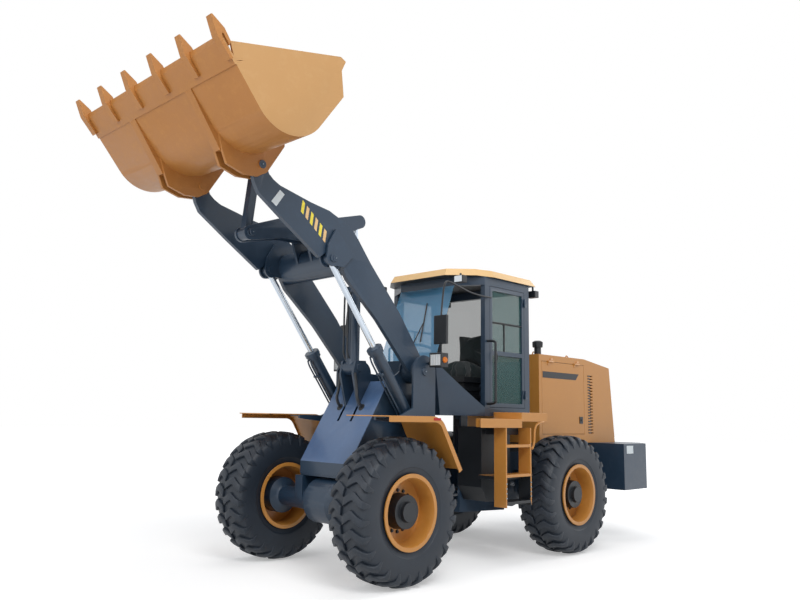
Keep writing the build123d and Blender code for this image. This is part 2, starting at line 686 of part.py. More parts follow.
bucket_floor = cw - bucket_round
blade_top = bucket_floor + 18
side_plate = 20.0
hinge_ears = ((arm_low - 15 - ear_plate, arm_low - 15), (arm_half + 15, arm_half + 15 + ear_plate))
link_ears = (60.0, 90.0)
with BuildPart() as bucket:
    with BuildSketch(bucket_side(bucket_half_width - side_plate)):
        bucket_profile(0, bucket_floor_front)
    extrude(amount=2 * (bucket_half_width - side_plate))
    # hinge ears, link ears and the ribs under the floor
    for hand in (1, -1):
        for low, high in hinge_ears:
            with BuildSketch(bucket_side(high if hand > 0 else -low)):
                with Locations((0, 0)):
                    Circle(85)
                Polygon(
                    (20, 340), (-82, 20), (-70, -100), (20, -230), (175, -335), (300, -300), (450, -240),
                    (450, 200), (150, 430), align=None,
                )
            extrude(amount=high - low)
        low, high = link_ears
        with BuildSketch(bucket_side(high if hand > 0 else -low)):
            with Locations((-90, 341)):
                Circle(75)
            with Locations((150, 560), (120, 120)):
                Circle(40)
            make_hull()
        extrude(amount=high - low)
        rib_low, rib_high = (hinge_ears[0][0] + 20, hinge_ears[1][1] - 20)
        with BuildSketch(bucket_side(rib_high if hand > 0 else -rib_low)):
            Polygon((860, -245), (860, -262), (300, -310), (250, -200), (400, -200), align=None)
        extrude(amount=rib_high - rib_low)
    # hollow it
    with BuildSketch(bucket_side(bucket_half_width - side_plate)):
        bucket_profile(bucket_wall, bucket_floor_front + 400)
    extrude(amount=2 * (bucket_half_width - side_plate), mode=Mode.SUBTRACT)
    # side plates with their cutters
    for hand in (1, -1):
        at_y = bucket_half_width if hand > 0 else -bucket_half_width + side_plate
        with BuildSketch(bucket_side(at_y)):
            bucket_profile(0, bucket_floor_front)
            Polygon((345, 702), (440, 900), (500, 870), (1028, -190), (880, -250), (863, -189), align=None)
        extrude(amount=side_plate)
    # cutting edge
    with BuildSketch(bucket_side(bucket_half_width)):
        Polygon(
            (bucket_floor_front - 25, blade_top - blade_thickness), (blade_front - 40, blade_top - blade_thickness),
            (blade_front, blade_top - 8), (blade_front - 12, blade_top), (bucket_floor_front - 25, blade_top),
            align=None,
        )
    extrude(amount=2 * bucket_half_width)
    # pins through the hinge ears, and the bores of the link's pin
    for hand in (1, -1):
        low, high = hinge_ears[0][0] - 10, hinge_ears[1][1] + 12
        disc(bucket_pin_radius, min(hand * low, hand * high), max(hand * low, hand * high), bucket_pin)
bucket.part.label = "bucket"
export_step(bucket.part, "parts/bucket.step")

blade_low = blade_top - blade_thickness
tooth_spacing = 2 * (bucket_half_width - tooth_edge) / (tooth_count - 1)
with BuildPart() as bucket_teeth:
    for index in range(tooth_count):
        at_y = (index - (tooth_count - 1) / 2) * tooth_spacing + tooth_width / 2
        with BuildSketch(bucket_side(at_y)):
            Polygon(
                (905, blade_low), (905, blade_low - 26), (1110, blade_low - 34), tooth_tip,
                (tooth_tip[0] - 4, tooth_tip[1] + 12), (1130, blade_top + 38), (1020, blade_top + 30),
                (1000, blade_top), (blade_front - 12, blade_top), (blade_front, blade_top - 8),
                (blade_front - 40, blade_low), align=None,
            )
        extrude(amount=tooth_width)
bucket_teeth.part.label = "bucket_teeth"
export_step(bucket_teeth.part, "parts/bucket_teeth.step")

# ---- rear frame -----------------------------------------------------------------------------------
frame_inner = frame_half_width - frame_plate
frame_front = -160.0
weight_front = -2591.0
weight_half = 1120.0
weight_low = 672.0
weight_top = 1262.0
with BuildPart() as rear_frame:
    plate(
        [
            (frame_front, frame_low + 30), (-1000, frame_low), (-1180, pad_top), (-1720, pad_top),
            (-1900, 640), (weight_front, 700), (weight_front, frame_top), (frame_front, frame_top),
        ],
        frame_inner, frame_half_width,
    )
    mirror(about=Plane.XZ)
    block((frame_front - 30, frame_front), (-frame_inner, frame_inner), (1030, frame_top))
    block((frame_front - 30, frame_front), (-frame_inner, frame_inner), (500, 600))
    block((-1040, -1010), (-frame_inner, frame_inner), (500, 700))
    block((-2200, -2170), (-frame_inner, frame_inner), (700, 900))
    block((weight_front, weight_front + 30), (-frame_inner, frame_inner), (700, frame_top))
    # forks round the front frame's ears, with the two steering pins
    for low, high in (upper_ear, lower_ear):
        for fork_low in (low - fork_plate - face_clearance, high + face_clearance):
            with BuildSketch(level(fork_low)):
                Circle(95)
                Polygon((0, -95), (0, 95), (frame_front, 180), (frame_front, -180), align=None)
            extrude(amount=fork_plate)
        upright(steer_pin_radius, low - fork_plate - 15, high + fork_plate + 15, (0, 0))
    # base brackets and pins of the steering cylinders
    for hand in (1, -1):
        for low in (steer_height + 30 + face_clearance, steer_height - 50 - face_clearance):
            block(
                (steer_base[0] - 55, steer_base[0] + 40),
                sorted((hand * (steer_base[1] - 50), hand * frame_inner)), (low, low + 20),
            )
        upright(steer_pin_bore, steer_height - 55, steer_height + 55, (steer_base[0], hand * steer_base[1]))
    # cab mounts
    for x in (-240, -1000):
        for hand in (1, -1):
            block((x - 60, x + 60), sorted((hand * frame_inner, hand * frame_half_width)), (frame_top, 1543))
            block((x - 60, x + 60), sorted((hand * 300, hand * frame_half_width)), (1543, 1583))
rear_frame.part.label = "rear_frame"
export_step(rear_frame.part, "parts/rear_frame.step")

# ---- counterweight --------------------------------------------------------------------------------
weight_side_rear = -rear_reach + 295
weight_rake_from = -rear_reach + 287
tow_pin_radius = 25.0
tow_slot_depth = 157.0
tow_pin_x = -rear_reach + tow_slot_depth / 2 - 1.5
tow_slot = (880.0, 990.0)
with BuildPart() as counterweight:
    with BuildSketch(level(weight_low)):
        Polygon(
            (weight_front, -weight_half), (weight_side_rear, -weight_half), (-rear_reach, -weight_half + 240),
            (-rear_reach, weight_half - 240), (weight_side_rear, weight_half), (weight_front, weight_half),
            align=None,
        )
    extrude(amount=weight_top - weight_low)
    # raked underside at the rear
    plate(
        [(weight_rake_from, weight_low - 1), (-rear_reach - 1, weight_low - 1), (-rear_reach - 1, weight_low + 188)],
        -weight_half - 1, weight_half + 1, mode=Mode.SUBTRACT,
    )
    # room for the rear tyres' inner ends stays clear; the tow slot and its pin bore
    block((-rear_reach - 1, -rear_reach + tow_slot_depth), (-90, 90), tow_slot, mode=Mode.SUBTRACT)
    upright(tow_pin_radius, weight_low, weight_top + 1, (tow_pin_x, 0), mode=Mode.SUBTRACT)
counterweight.part.label = "counterweight"
export_step(counterweight.part, "parts/counterweight.step")

# ---- engine ---------------------------------------------------------------------------------------
with BuildPart() as engine:
    block((-2380, -1440), (-300, 300), (960, 1560))
    block((-2380, -1440), (-frame_inner, frame_inner), (1010, 1060))
engine.part.label = "engine"
export_step(engine.part, "parts/engine.step")

# ---- hood -----------------------------------------------------------------------------------------
hood_half = 631.0
hood_wall = 25.0
hood_front = -1400.0
hood_break = -2469.0
hood_low = 1262.0
hood_top = 2372.0
hood_rear_low = -3253.0
hood_rear_high = (-3131.0, 2285.0)
rear_lean = (hood_rear_high[0] - hood_rear_low) / (hood_rear_high[1] - hood_low)
hood_outline = [
    (hood_front, hood_low), (hood_front, hood_top), (hood_break, hood_top), hood_rear_high, (hood_rear_low, hood_low)
]
inner_high = hood_rear_high[1] - hood_wall
hood_inner = [
    (hood_front - hood_wall, hood_low - 1), (hood_front - hood_wall, hood_top - hood_wall),
    (hood_break - 3, hood_top - hood_wall),
    (hood_rear_low + hood_wall + (inner_high - hood_low) * rear_lean, inner_high),
    (hood_rear_low + hood_wall - rear_lean, hood_low - 1),
]
door_gap = 5.0
hood_hinge_x = (-1650.0, -2270.0)
hood_hinge_z = 2287.5
hinge_pin_radius = 6.0
knuckle_radius = 12.0
hood_hinge_y = hood_half + knuckle_radius + 0.5


def lengthwise(radius, x_low, x_high, hand, mode=Mode.ADD):
    """A bar or bore along the axis of a hood door's hinge."""
    plane = Plane(origin=(steer_x + x_low, hand * hood_hinge_y, hood_hinge_z), x_dir=(0, 1, 0), z_dir=(1, 0, 0))
    with BuildSketch(plane) as profile:
        Circle(radius)
    extrude(profile.sketch, amount=x_high - x_low, mode=mode)


hood_door = (hood_front - 60, hood_break + 10, 1372.0, 2290.0)
with BuildPart() as hood:
    plate(hood_outline, -hood_half, hood_half)
    plate(hood_inner, -hood_half + hood_wall, hood_half - hood_wall, mode=Mode.SUBTRACT)
    # side doorways, and the rear opening of the radiator grille
    block(
        (hood_door[1], hood_door[0]), (-hood_half - 1, hood_half + 1), (hood_door[2], hood_door[3]),
        mode=Mode.SUBTRACT,
    )
    block((-3300, -3100), (-500, 500), (1400, 2180), mode=Mode.SUBTRACT)
    # louvre slots
    for index in range(20):
        z = 1380 + index * 40
        block((-2680, -2600), (-hood_half - 1, hood_half + 1), (z, z + 16), mode=Mode.SUBTRACT)
    # knuckles of the side doors' hinges, with their pins
    for hand in (1, -1):
        for x in hood_hinge_x:
            lengthwise(knuckle_radius, x - 60, x, hand)
            lengthwise(hinge_pin_radius, x - 60, x + 60, hand)
            block((x - 60, x), sorted((hand * hood_half, hand * (hood_half + 6))), (hood_hinge_z, hood_hinge_z + 45))
hood.part.label = "hood"
export_step(hood.part, "parts/hood.step")

for word, hand in (("left", 1), ("right", -1)):
    with BuildPart() as hood_side:
        block(
            (hood_door[1] + door_gap, hood_door[0] - door_gap),
            sorted((hand * (hood_half - hood_wall), hand * hood_half)),
            (hood_door[2] + door_gap, hood_door[3] - door_gap),
        )
        for x in hood_hinge_x:
            lengthwise(knuckle_radius, x + face_clearance, x + 60, hand)
            block(
                (x + face_clearance, x + 60), sorted((hand * hood_half, hand * (hood_half + 6))),
                (hood_hinge_z - 45, hood_hinge_z),
            )
            lengthwise(hinge_pin_radius + pin_clearance, x, x + 61, hand, mode=Mode.SUBTRACT)
    hood_side.part.label = f"hood_door_{word}"
    export_step(hood_side.part, f"parts/hood_door_{word}.step")

with BuildPart() as radiator_grille:
    with BuildSketch(
        Plane(
            origin=(steer_x + hood_rear_low + hood_wall + 0.2, 0, hood_low), x_dir=(0, -1, 0), z_dir=(-1, 0, rear_lean),
        )
    ):
        with Locations((0, 535)):
            Rectangle(1060, 850)
    extrude(amount=-15)
radiator_grille.part.label = "radiator_grille"
export_step(radiator_grille.part, "parts/radiator_grille.step")

# ---- cab ------------------------------------------------------------------------------------------
cab_half = 733.0
cab_wall = 40.0
cab_floor = (1583.0, 1623.0)
cab_rear = -1044.0
pillar_b = (-265.0, -175.0)
pillar_c = (-1044.0, -944.0)
sill_rear = 1680.0
waist = 2200.0
roof_ring = (3080.0, 3177.0)
# height, x and half-width of the front corner
hinge_x = pillar_c[1] + 2.5
hinge_y = cab_half + knuckle_radius + 0.5
knuckle_height = 50.0
hinge_heights = (1790.0, 2900.0)
cab_floor_front = (245.0, 430.0)
cab_waist_front = (345.0, 440.0)
cab_roof_front = (15.0, 430.0)


def cab_outline(front, inset=0.0):
    """Plan outline of the cab at one height, from its front corner."""
    x, y = front[0] - inset, front[1] - inset * 0.6
    return [
        (x, -y), (x, y), (pillar_b[1] - inset * 0.6, cab_half - inset), (cab_rear + inset, cab_half - inset),
        (cab_rear + inset, -cab_half + inset), (pillar_b[1] - inset * 0.6, -cab_half + inset),
    ]


def cab_loft(z_low, front_low, z_high, front_high, inset=0.0, mode=Mode.ADD):
    """A straight-sided stretch of the cab between two heights."""
    with BuildSketch(level(z_low)) as low:
        Polygon(*cab_outline(front_low, inset), align=None)
    with BuildSketch(level(z_high)) as high:
        Polygon(*cab_outline(front_high, inset), align=None)
    loft([low.sketch, high.sketch], ruled=True, mode=mode)


with BuildPart() as cab_shell:
    cab_loft(cab_floor[0], cab_floor_front, waist, cab_waist_front)
    cab_loft(cab_floor[1], cab_floor_front, waist + 1, cab_waist_front, inset=cab_wall, mode=Mode.SUBTRACT)
    # the side walls fall from the waist at the front to the sill at the doors
    plate(
        [(pillar_b[1], sill_rear), (300, waist - 60), (300, waist + 2), (cab_rear - 1, waist + 2), (cab_rear - 1, sill_rear)],
        -cab_half - 1, cab_half + 1, mode=Mode.SUBTRACT,
    )
    for hand in (1, -1):
        for x_low, x_high in (pillar_b, pillar_c):
            block((x_low, x_high), sorted((hand * (cab_half - 60), hand * cab_half)), (sill_rear - 40, roof_ring[1]))
    # rear wall up to the rear window, and its header
    block((cab_rear, cab_rear + cab_wall), (-cab_half + 60, cab_half - 60), (sill_rear - 40, 2250))
    with BuildSketch(level(roof_ring[0])):
        Polygon(*cab_outline(cab_roof_front), align=None)
        Polygon(*cab_outline(cab_roof_front, 70), align=None, mode=Mode.SUBTRACT)
    extrude(amount=roof_ring[1] - roof_ring[0])
    # lower knuckles of the doors' hinges, with their pins
    for hand in (1, -1):
        hinge_at = (hinge_x, hand * hinge_y)
        for z in hinge_heights:
            upright(knuckle_radius, z, z + knuckle_height, hinge_at)
            upright(hinge_pin_radius, z, z + 2 * knuckle_height, hinge_at)
            block(
                (hinge_x - 45, hinge_x), sorted((hand * cab_half, hand * (cab_half + 6))), (z, z + knuckle_height)
            )
cab_shell.part.label = "cab_shell"
export_step(cab_shell.part, "parts/cab_shell.step")

roof_top = 3262.0
with BuildPart() as cab_roof:
    with BuildSketch(level(roof_ring[1])):
        Polygon(
            (190, -440), (190, 440), (-60, 700), (-300, 775), (-1150, 765), (-1150, -765), (-300, -775), (-60, -700),
            align=None,
        )
    extrude(amount=roof_top - roof_ring[1], taper=30)
cab_roof.part.label = "cab_roof"
export_step(cab_roof.part, "parts/cab_roof.step")

glass = 6.0


def pane(low_points, z_low, high_points, z_high, inward):
    """A glass pane between two heights: each edge is given by two plan points."""
    sections = []
    for points, z in ((low_points, z_low), (high_points, z_high)):
        (ax, ay), (bx, by) = points
        length = hypot(bx - ax, by - ay)
        nx, ny = -(by - ay) / length * inward, (bx - ax) / length * inward
        with BuildSketch(level(z)) as section:
            Polygon((ax, ay), (bx, by), (bx + nx, by + ny), (ax + nx, ay + ny), align=None)
        sections.append(section.sketch)
    loft(sections, ruled=True)


with BuildPart() as cab_glass:
    pane(
        [(cab_waist_front[0], -cab_waist_front[1]), (cab_waist_front[0], cab_waist_front[1])], waist,
        [(cab_roof_front[0], -cab_roof_front[1]), (cab_roof_front[0], cab_roof_front[1])], roof_ring[0], glass,
    )
    block((cab_rear + 10, cab_rear + 16), (-cab_half + 60, cab_half - 60), (2250, roof_ring[0]))
cab_glass.part.label = "cab_glass"
export_step(cab_glass.part, "parts/cab_glass.step")

# ---- cab doors ------------------------------------------------------------------------------------
door_thickness = 40.0
door_span = (pillar_c[1] + door_gap, pillar_b[0] - door_gap)
door_height = (sill_rear + door_gap, roof_ring[0] - door_gap)
door_frame = 45.0
for word, hand in (("left", 1), ("right", -1)):
    y_span = sorted((hand * (cab_half - door_thickness), hand * cab_half))
    with BuildPart() as cab_door:
        block(door_span, y_span, door_height)
        for low, high in ((door_height[0] + door_frame, 2280), (2330, door_height[1] - door_frame)):
            block((door_span[0] + door_frame, door_span[1] - door_frame), y_span, (low, high), mode=Mode.SUBTRACT)
        for low, high in ((door_height[0] + door_frame, 2280), (2330, door_height[1] - door_frame)):
            middle = (y_span[0] + y_span[1]) / 2
            block(
                (door_span[0] + door_frame, door_span[1] - door_frame), (middle - glass / 2, middle + glass / 2),
                (low, high),
            )
        for z in hinge_heights:
            low, high = z + knuckle_height + face_clearance, z + 2 * knuckle_height
            upright(knuckle_radius, low, high, (hinge_x, hand * hinge_y))
            block((hinge_x, hinge_x + 45), sorted((hand * cab_half, hand * (cab_half + 6))), (low, high))
            upright(hinge_pin_radius + pin_clearance, low, high, (hinge_x, hand * hinge_y), mode=Mode.SUBTRACT)
    cab_door.part.label = f"cab_door_{word}"
    export_step(cab_door.part, f"parts/cab_door_{word}.step")

# ---- seat, steering column ------------------------------------------------------------------------
with BuildPart() as seat:
    block((-900, -400), (-200, 200), (cab_floor[1], 1850))
    block((-900, -400), (-250, 250), (1850, 1990))
    plate([(-920, 1990), (-780, 1990), (-860, 2640), (-960, 2640)], -240, 240)
seat.part.label = "seat"
export_step(seat.part, "parts/seat.step")

with BuildPart() as steering_column:
    plate([(60, cab_floor[1]), (200, cab_floor[1]), (60, 2260), (30, 2300), (-20, 2290), (0, 2200)], -80, 80)
    with BuildSketch(Plane(origin=(steer_x + 10, 0, 2290), x_dir=(0, 1, 0), z_dir=(-0.45, 0, 0.89))):
        Circle(215)
        Circle(190, mode=Mode.SUBTRACT)
        Rectangle(390, 30)
    extrude(amount=24)
steering_column.part.label = "steering_column"
export_step(steering_column.part, "parts/steering_column.step")

# ---- platforms, tanks and ladders -----------------------------------------------------------------
deck_top = 1555.0
deck_skirt = 1460.0
deck_half = 1120.0
deck_sheet = 8.0
deck_rear = -332.0
guard_top = 1628.0
guard_rear = -830.0
deck_front = [
    (-10, cab_half), (-10, cab_half + 57), (30, cab_half + 107), (300, deck_half - 70), (396, deck_half)
]
with BuildPart() as platforms:
    with BuildSketch(level(deck_skirt)):
        Polygon(*deck_front, (deck_rear, deck_half), (deck_rear, cab_half), align=None)
    extrude(amount=deck_top - deck_skirt)
    with BuildSketch(level(deck_skirt)):
        Polygon(
            (-22, cab_half + 1), (-22, cab_half + 62), (20, cab_half + 117), (290, deck_half - 60),
            (350, deck_half - deck_sheet), (deck_rear + 1, deck_half - deck_sheet), (deck_rear + 1, cab_half + 1),
            align=None,
        )
    extrude(amount=deck_top - deck_skirt - deck_sheet, mode=Mode.SUBTRACT)
    # the raised guard over the rear wheel
    block((guard_rear, deck_rear), (cab_half, deck_half), (guard_top - deck_sheet, guard_top))
    block((deck_rear - deck_sheet, deck_rear), (cab_half, deck_half), (deck_skirt, guard_top))
    block((guard_rear, deck_rear), (deck_half - deck_sheet, deck_half), (1530, guard_top))
    mirror(about=Plane.XZ)
platforms.part.label = "platforms"
export_step(platforms.part, "parts/platforms.step")

tank_half = 720.0
tank_low = 640.0
ladder_depth = 160.0
ladder_in = deck_half - ladder_depth
with BuildPart() as side_tanks:
    with BuildSketch(side(tank_half)):
        Polygon(
            (-130, 800), (-130, 1440), (-660, 1440), (-660, 800), (-560, tank_low), (-230, tank_low), align=None
        )
    extrude(amount=tank_half - frame_half_width)
    block((-660, -130), (frame_half_width, tank_half), (1440, deck_skirt))
    block((-640, -200), (tank_half, ladder_in), (1380, deck_skirt))
    mirror(about=Plane.XZ)
side_tanks.part.label = "side_tanks"
export_step(side_tanks.part, "parts/side_tanks.step")

step_heights = (1250.0, 934.0, 650.0)
ladder_x = (-500.0, -50.0)
stringer = 20.0
step_thickness = 30.0
with BuildPart() as ladders:
    for x in ladder_x:
        block((x - stringer / 2, x + stringer / 2), (ladder_in, deck_half), (step_heights[-1] - 30, deck_skirt))
    for z in step_heights:
        block((ladder_x[0], ladder_x[1]), (ladder_in, deck_half), (z, z + step_thickness))
    block((ladder_x[0] + 20, ladder_x[1] - 20), (tank_half, ladder_in + 40), (900, 940))
    mirror(about=Plane.XZ)
ladders.part.label = "ladders"
export_step(ladders.part, "parts/ladders.step")
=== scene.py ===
# %% [markdown]
# A wheel loader in studio light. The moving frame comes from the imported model: every plate, pin and
# cylinder already has its real size there. This notebook gives those parts soft edges and painted
# finishes, then models what such a machine carries on top of them: tread, bolts, hoses, lamps, glass
# seals and upholstery.

import json
import math

import bmesh
import bpy
from mathutils import Matrix, Vector
from mathutils.bvhtree import BVHTree


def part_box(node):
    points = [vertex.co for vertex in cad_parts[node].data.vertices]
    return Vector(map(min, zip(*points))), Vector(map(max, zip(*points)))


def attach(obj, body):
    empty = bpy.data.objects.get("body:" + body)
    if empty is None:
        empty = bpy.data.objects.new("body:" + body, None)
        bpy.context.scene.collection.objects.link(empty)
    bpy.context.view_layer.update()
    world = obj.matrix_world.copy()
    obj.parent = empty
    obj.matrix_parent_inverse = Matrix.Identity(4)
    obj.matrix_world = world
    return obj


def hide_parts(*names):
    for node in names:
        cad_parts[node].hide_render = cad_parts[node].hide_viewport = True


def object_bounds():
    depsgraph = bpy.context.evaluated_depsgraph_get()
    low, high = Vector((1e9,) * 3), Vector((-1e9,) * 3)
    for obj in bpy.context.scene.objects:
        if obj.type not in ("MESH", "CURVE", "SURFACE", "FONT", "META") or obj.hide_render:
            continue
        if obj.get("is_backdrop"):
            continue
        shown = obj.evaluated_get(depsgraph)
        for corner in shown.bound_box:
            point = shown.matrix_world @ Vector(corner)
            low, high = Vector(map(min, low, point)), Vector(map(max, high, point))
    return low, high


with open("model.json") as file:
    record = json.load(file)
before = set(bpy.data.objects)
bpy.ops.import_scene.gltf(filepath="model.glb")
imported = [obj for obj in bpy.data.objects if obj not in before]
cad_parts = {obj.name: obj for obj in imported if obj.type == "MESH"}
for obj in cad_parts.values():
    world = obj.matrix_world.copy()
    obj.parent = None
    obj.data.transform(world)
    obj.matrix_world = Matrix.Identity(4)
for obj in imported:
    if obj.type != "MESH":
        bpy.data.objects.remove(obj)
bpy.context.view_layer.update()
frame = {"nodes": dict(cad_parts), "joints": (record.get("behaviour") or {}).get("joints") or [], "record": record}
nodes = frame["nodes"]
record = frame["record"]
body_of_node = {n: b for b, names in record["behaviour"]["bodies"].items() for n in names}
pins = {j["name"]: Vector(j["pos_m"]) for j in frame["joints"] if "pos_m" in j}

# %% [markdown]
# The camera stands low in front of the machine's left corner and looks slightly up, so the raised
# bucket towers over the cab. A short lens keeps that drama. The picture is framed a little off centre
# with the lens shift, not by turning the camera.

# %% Camera
camera_spot = Vector((6.580, 6.141, 1.563))
camera_azimuth, camera_rise, camera_roll = 135.495, -8.652, 1.113
a, e = math.radians(camera_azimuth), math.radians(camera_rise)
back = Vector((math.sin(a) * math.cos(e), -math.cos(a) * math.cos(e), math.sin(e)))
lens = bpy.data.cameras.new("camera")
lens.lens, lens.sensor_width = 34.57, 36.0
lens.shift_x, lens.shift_y = 0.0209, -0.0014
camera = bpy.data.objects.new("camera", lens)
bpy.context.scene.collection.objects.link(camera)
turn = back.to_track_quat("Z", "Y").to_matrix() @ Matrix.Rotation(math.radians(camera_roll), 3, "Z")
camera.matrix_world = Matrix.Translation(camera_spot) @ turn.to_4x4()
bpy.context.scene.camera = camera
print("camera", [round(x, 3) for x in camera_spot], "lens", lens.lens)

# %% [markdown]
# The machine bends at a steering joint half-way between its axles, so places are easiest to give from
# there, in millimetres forward, to the left, and up. Places on the boom are given along the line of its
# two pins and above it, because it stands at a slant.

# %% Places on the machine
steer_x = pins["articulation"].x


def at(x, y, z):
    """A place in millimetres: forward of the steering joint, to the left, and up."""
    return Vector((steer_x + x / 1000, y / 1000, z / 1000))


def slanted(origin, pitch, along, above, y):
    """A place in a slanting side view: along a line that starts at origin, above it, and at width y."""
    c, s = math.cos(math.radians(pitch)), math.sin(math.radians(pitch))
    return Vector(
        (origin.x + (along * c - above * s) / 1000, y / 1000, origin.z + (along * s + above * c) / 1000)
    )


def line_up(start, end):
    """The pitch of the line from one pin to another, in degrees, in side view."""
    return math.degrees(math.atan2(end.z - start.z, end.x - start.x))


boom_pin, bucket_pin, crank_pin = pins["boom_lift"], pins["bucket_tilt"], pins["bellcrank_swing"]
link_pin, lift_pin, tilt_pin = pins["link_swing"], pins["lift_barrel_swing"], pins["tilt_barrel_swing"]
boom_pitch = line_up(boom_pin, bucket_pin)
LEFT, UP, FORWARD = Vector((0, 1, 0)), Vector((0, 0, 1)), Vector((1, 0, 0))
print("boom pitch", round(boom_pitch, 2))

# %% [markdown]
# Finishes are node trees. A tree is easier to read when each node is added in one line that says what
# it is, how it is set and what feeds it, so one small function does that. Colours are written as the
# sRGB hex values that a paint chart gives, and one function turns them to the linear light values that
# the renderer works in.


# %% Colour and node helpers
def paint_chart(hex_code):
    """A six-digit sRGB colour as linear red, green, blue and alpha."""
    channels = [int(hex_code[i : i + 2], 16) / 255 for i in (0, 2, 4)]
    return (*[c / 12.92 if c <= 0.04045 else ((c + 0.055) / 1.055) ** 2.4 for c in channels], 1.0)


def node(tree, kind, settings=(), inputs=(), links=()):
    """Adds one node: its settings, its plain socket values, then its links as (socket, from_node, output)."""
    made = tree.nodes.new(kind)
    for name, value in dict(settings).items():
        setattr(made, name, value)
    for name, value in dict(inputs).items():
        made.inputs[name].default_value = value
    for socket, source, output in links:
        tree.links.new(source.outputs[output], made.inputs[socket])
    return made


def new_finish(name):
    """An empty material with its output, ready for nodes."""
    finish = bpy.data.materials.new(name)
    finish.use_nodes = True
    finish.node_tree.nodes.clear()
    return finish, finish.node_tree


finishes, slot_of_finish = {}, {}

# %% [markdown]
# Two-pack polyurethane enamel is what construction machines are sprayed with. Up close it has the fine
# "orange peel" of a sprayed film, a faint drift in tone from panel to panel, and dust that settles in
# soft patches and dulls the gloss. The eye reads it as paint when the highlight is broad but still has
# a clear edge, so the shader has a clear coat over a rougher colour. The peel is about 3 mm from hill
# to hill, which is drawn coarser than the real film so that it shows.


# %% Sprayed enamel
def enamel(name, slot, colour, shade, dust, roughness, coat):
    """Sprayed enamel: its colour, the shade it drifts to, the dust on it, its roughness and its gloss."""
    finish, tree = new_finish(name)
    where = node(tree, "ShaderNodeTexCoord")
    drift = node(
        tree, "ShaderNodeTexNoise", (), {"Scale": 1000 / 650, "Detail": 3.0, "Roughness": 0.55},
        [("Vector", where, "Object")],
    )
    patch = node(
        tree, "ShaderNodeTexNoise", (), {"Scale": 1000 / 90, "Detail": 7.0, "Roughness": 0.72},
        [("Vector", where, "Object")],
    )
    peel = node(
        tree, "ShaderNodeTexNoise", (), {"Scale": 1000 / 6, "Detail": 1.0}, [("Vector", where, "Object")]
    )
    tone = node(
        tree, "ShaderNodeMix", {"data_type": "RGBA"}, {6: paint_chart(colour), 7: paint_chart(shade)},
        [(0, drift, "Fac")],
    )
    share = node(
        tree, "ShaderNodeMapRange", (), {"From Min": 0.5, "From Max": 0.8, "To Min": 0.0, "To Max": 0.35},
        [("Value", patch, "Fac")],
    )
    dusty = node(
        tree, "ShaderNodeMix", {"data_type": "RGBA"}, {7: paint_chart(dust)}, [(0, share, 0), (6, tone, 2)]
    )
    rough = node(
        tree, "ShaderNodeMapRange", (),
        {"From Min": 0.35, "From Max": 0.75, "To Min": roughness, "To Max": roughness + 0.16},
        [("Value", patch, "Fac")],
    )
    skin = node(tree, "ShaderNodeBump", (), {"Strength": 0.06, "Distance": 0.001}, [("Height", peel, "Fac")])
    shader = node(
        tree, "ShaderNodeBsdfPrincipled", (),
        {"IOR": 1.5, "Coat Weight": coat, "Coat Roughness": 0.12, "Coat IOR": 1.5},
        [("Base Color", dusty, 2), ("Roughness", rough, 0), ("Normal", skin, 0)],
    )
    node(tree, "ShaderNodeOutputMaterial", (), (), [("Surface", shader, 0)])
    finishes[name], slot_of_finish[name] = finish, slot
    return tree, shader, skin, where


enamel("frame_enamel", "chassis", "1f364c", "1a2e41", "34495d", 0.40, 0.30)
enamel("cover_enamel", "cover", "4a678f", "435f85", "6680a2", 0.36, 0.35)
enamel("amber_enamel", "yellow", "c98a3e", "bf8138", "d09a58", 0.38, 0.30)
# This pale paint covers the cab roof and also the front fenders' upward faces, where it is a painted highlight
# from the light above.
enamel("pale_roof_and_fender_highlight", "yellow", "efc78c", "e8bd80", "f2d3a4", 0.42, 0.20)
enamel("bucket_enamel", "bucket", "b97c3c", "ae7234", "d39b55", 0.45, 0.12)
# The bucket's side plates get a paler copy of the bucket paint: painted light, as if light fell on them from the
# side.
enamel("bucket_side_painted_light", "bucket", "c99a63", "c0915a", "d2ab7c", 0.48, 0.08)
print("enamels", sorted(finishes))

# %% [markdown]
# Walking surfaces are pressed with small diamonds so that boots hold. Here the diamonds come from two
# crossed waves, 28 mm apart, raised in the bump of the same enamel, so the paint still looks like paint.

# %% Anti-slip plate
tree, shader, skin, where = enamel("amber_tread", "yellow", "cf8a34", "c58130", "d59c55", 0.45, 0.15)
height = None
for slant in (45, -45):
    slants = [math.radians(slant)] * 3
    turned = node(
        tree, "ShaderNodeMapping", (), {"Rotation": slants}, [("Vector", where, "Object")]
    )
    wave = node(
        tree, "ShaderNodeTexWave", {"wave_profile": "SIN"}, {"Scale": 1000 / 28 / 20 * 3.14},
        [("Vector", turned, 0)],
    )
    height = wave if height is None else node(
        tree, "ShaderNodeMath", {"operation": "MINIMUM"}, (), [(0, height, "Fac"), (1, wave, "Fac")]
    )
pressed = node(
    tree, "ShaderNodeBump", (), {"Strength": 0.5, "Distance": 0.003},
    [("Height", height, 0), ("Normal", skin, 0)],
)
tree.links.new(pressed.outputs[0], shader.inputs["Normal"])
print("anti-slip plate ready")

# %% [markdown]
# Rubber, plastic, cloth and bare metal need less. Carbon-black rubber and moulded polypropylene are
# nearly black with a broad sheen; a hard-chromed rod is a mirror with a faint grey; zinc-plated bolts
# are dull and pale; glass for cabs is laminated and tinted, and lets most light through.


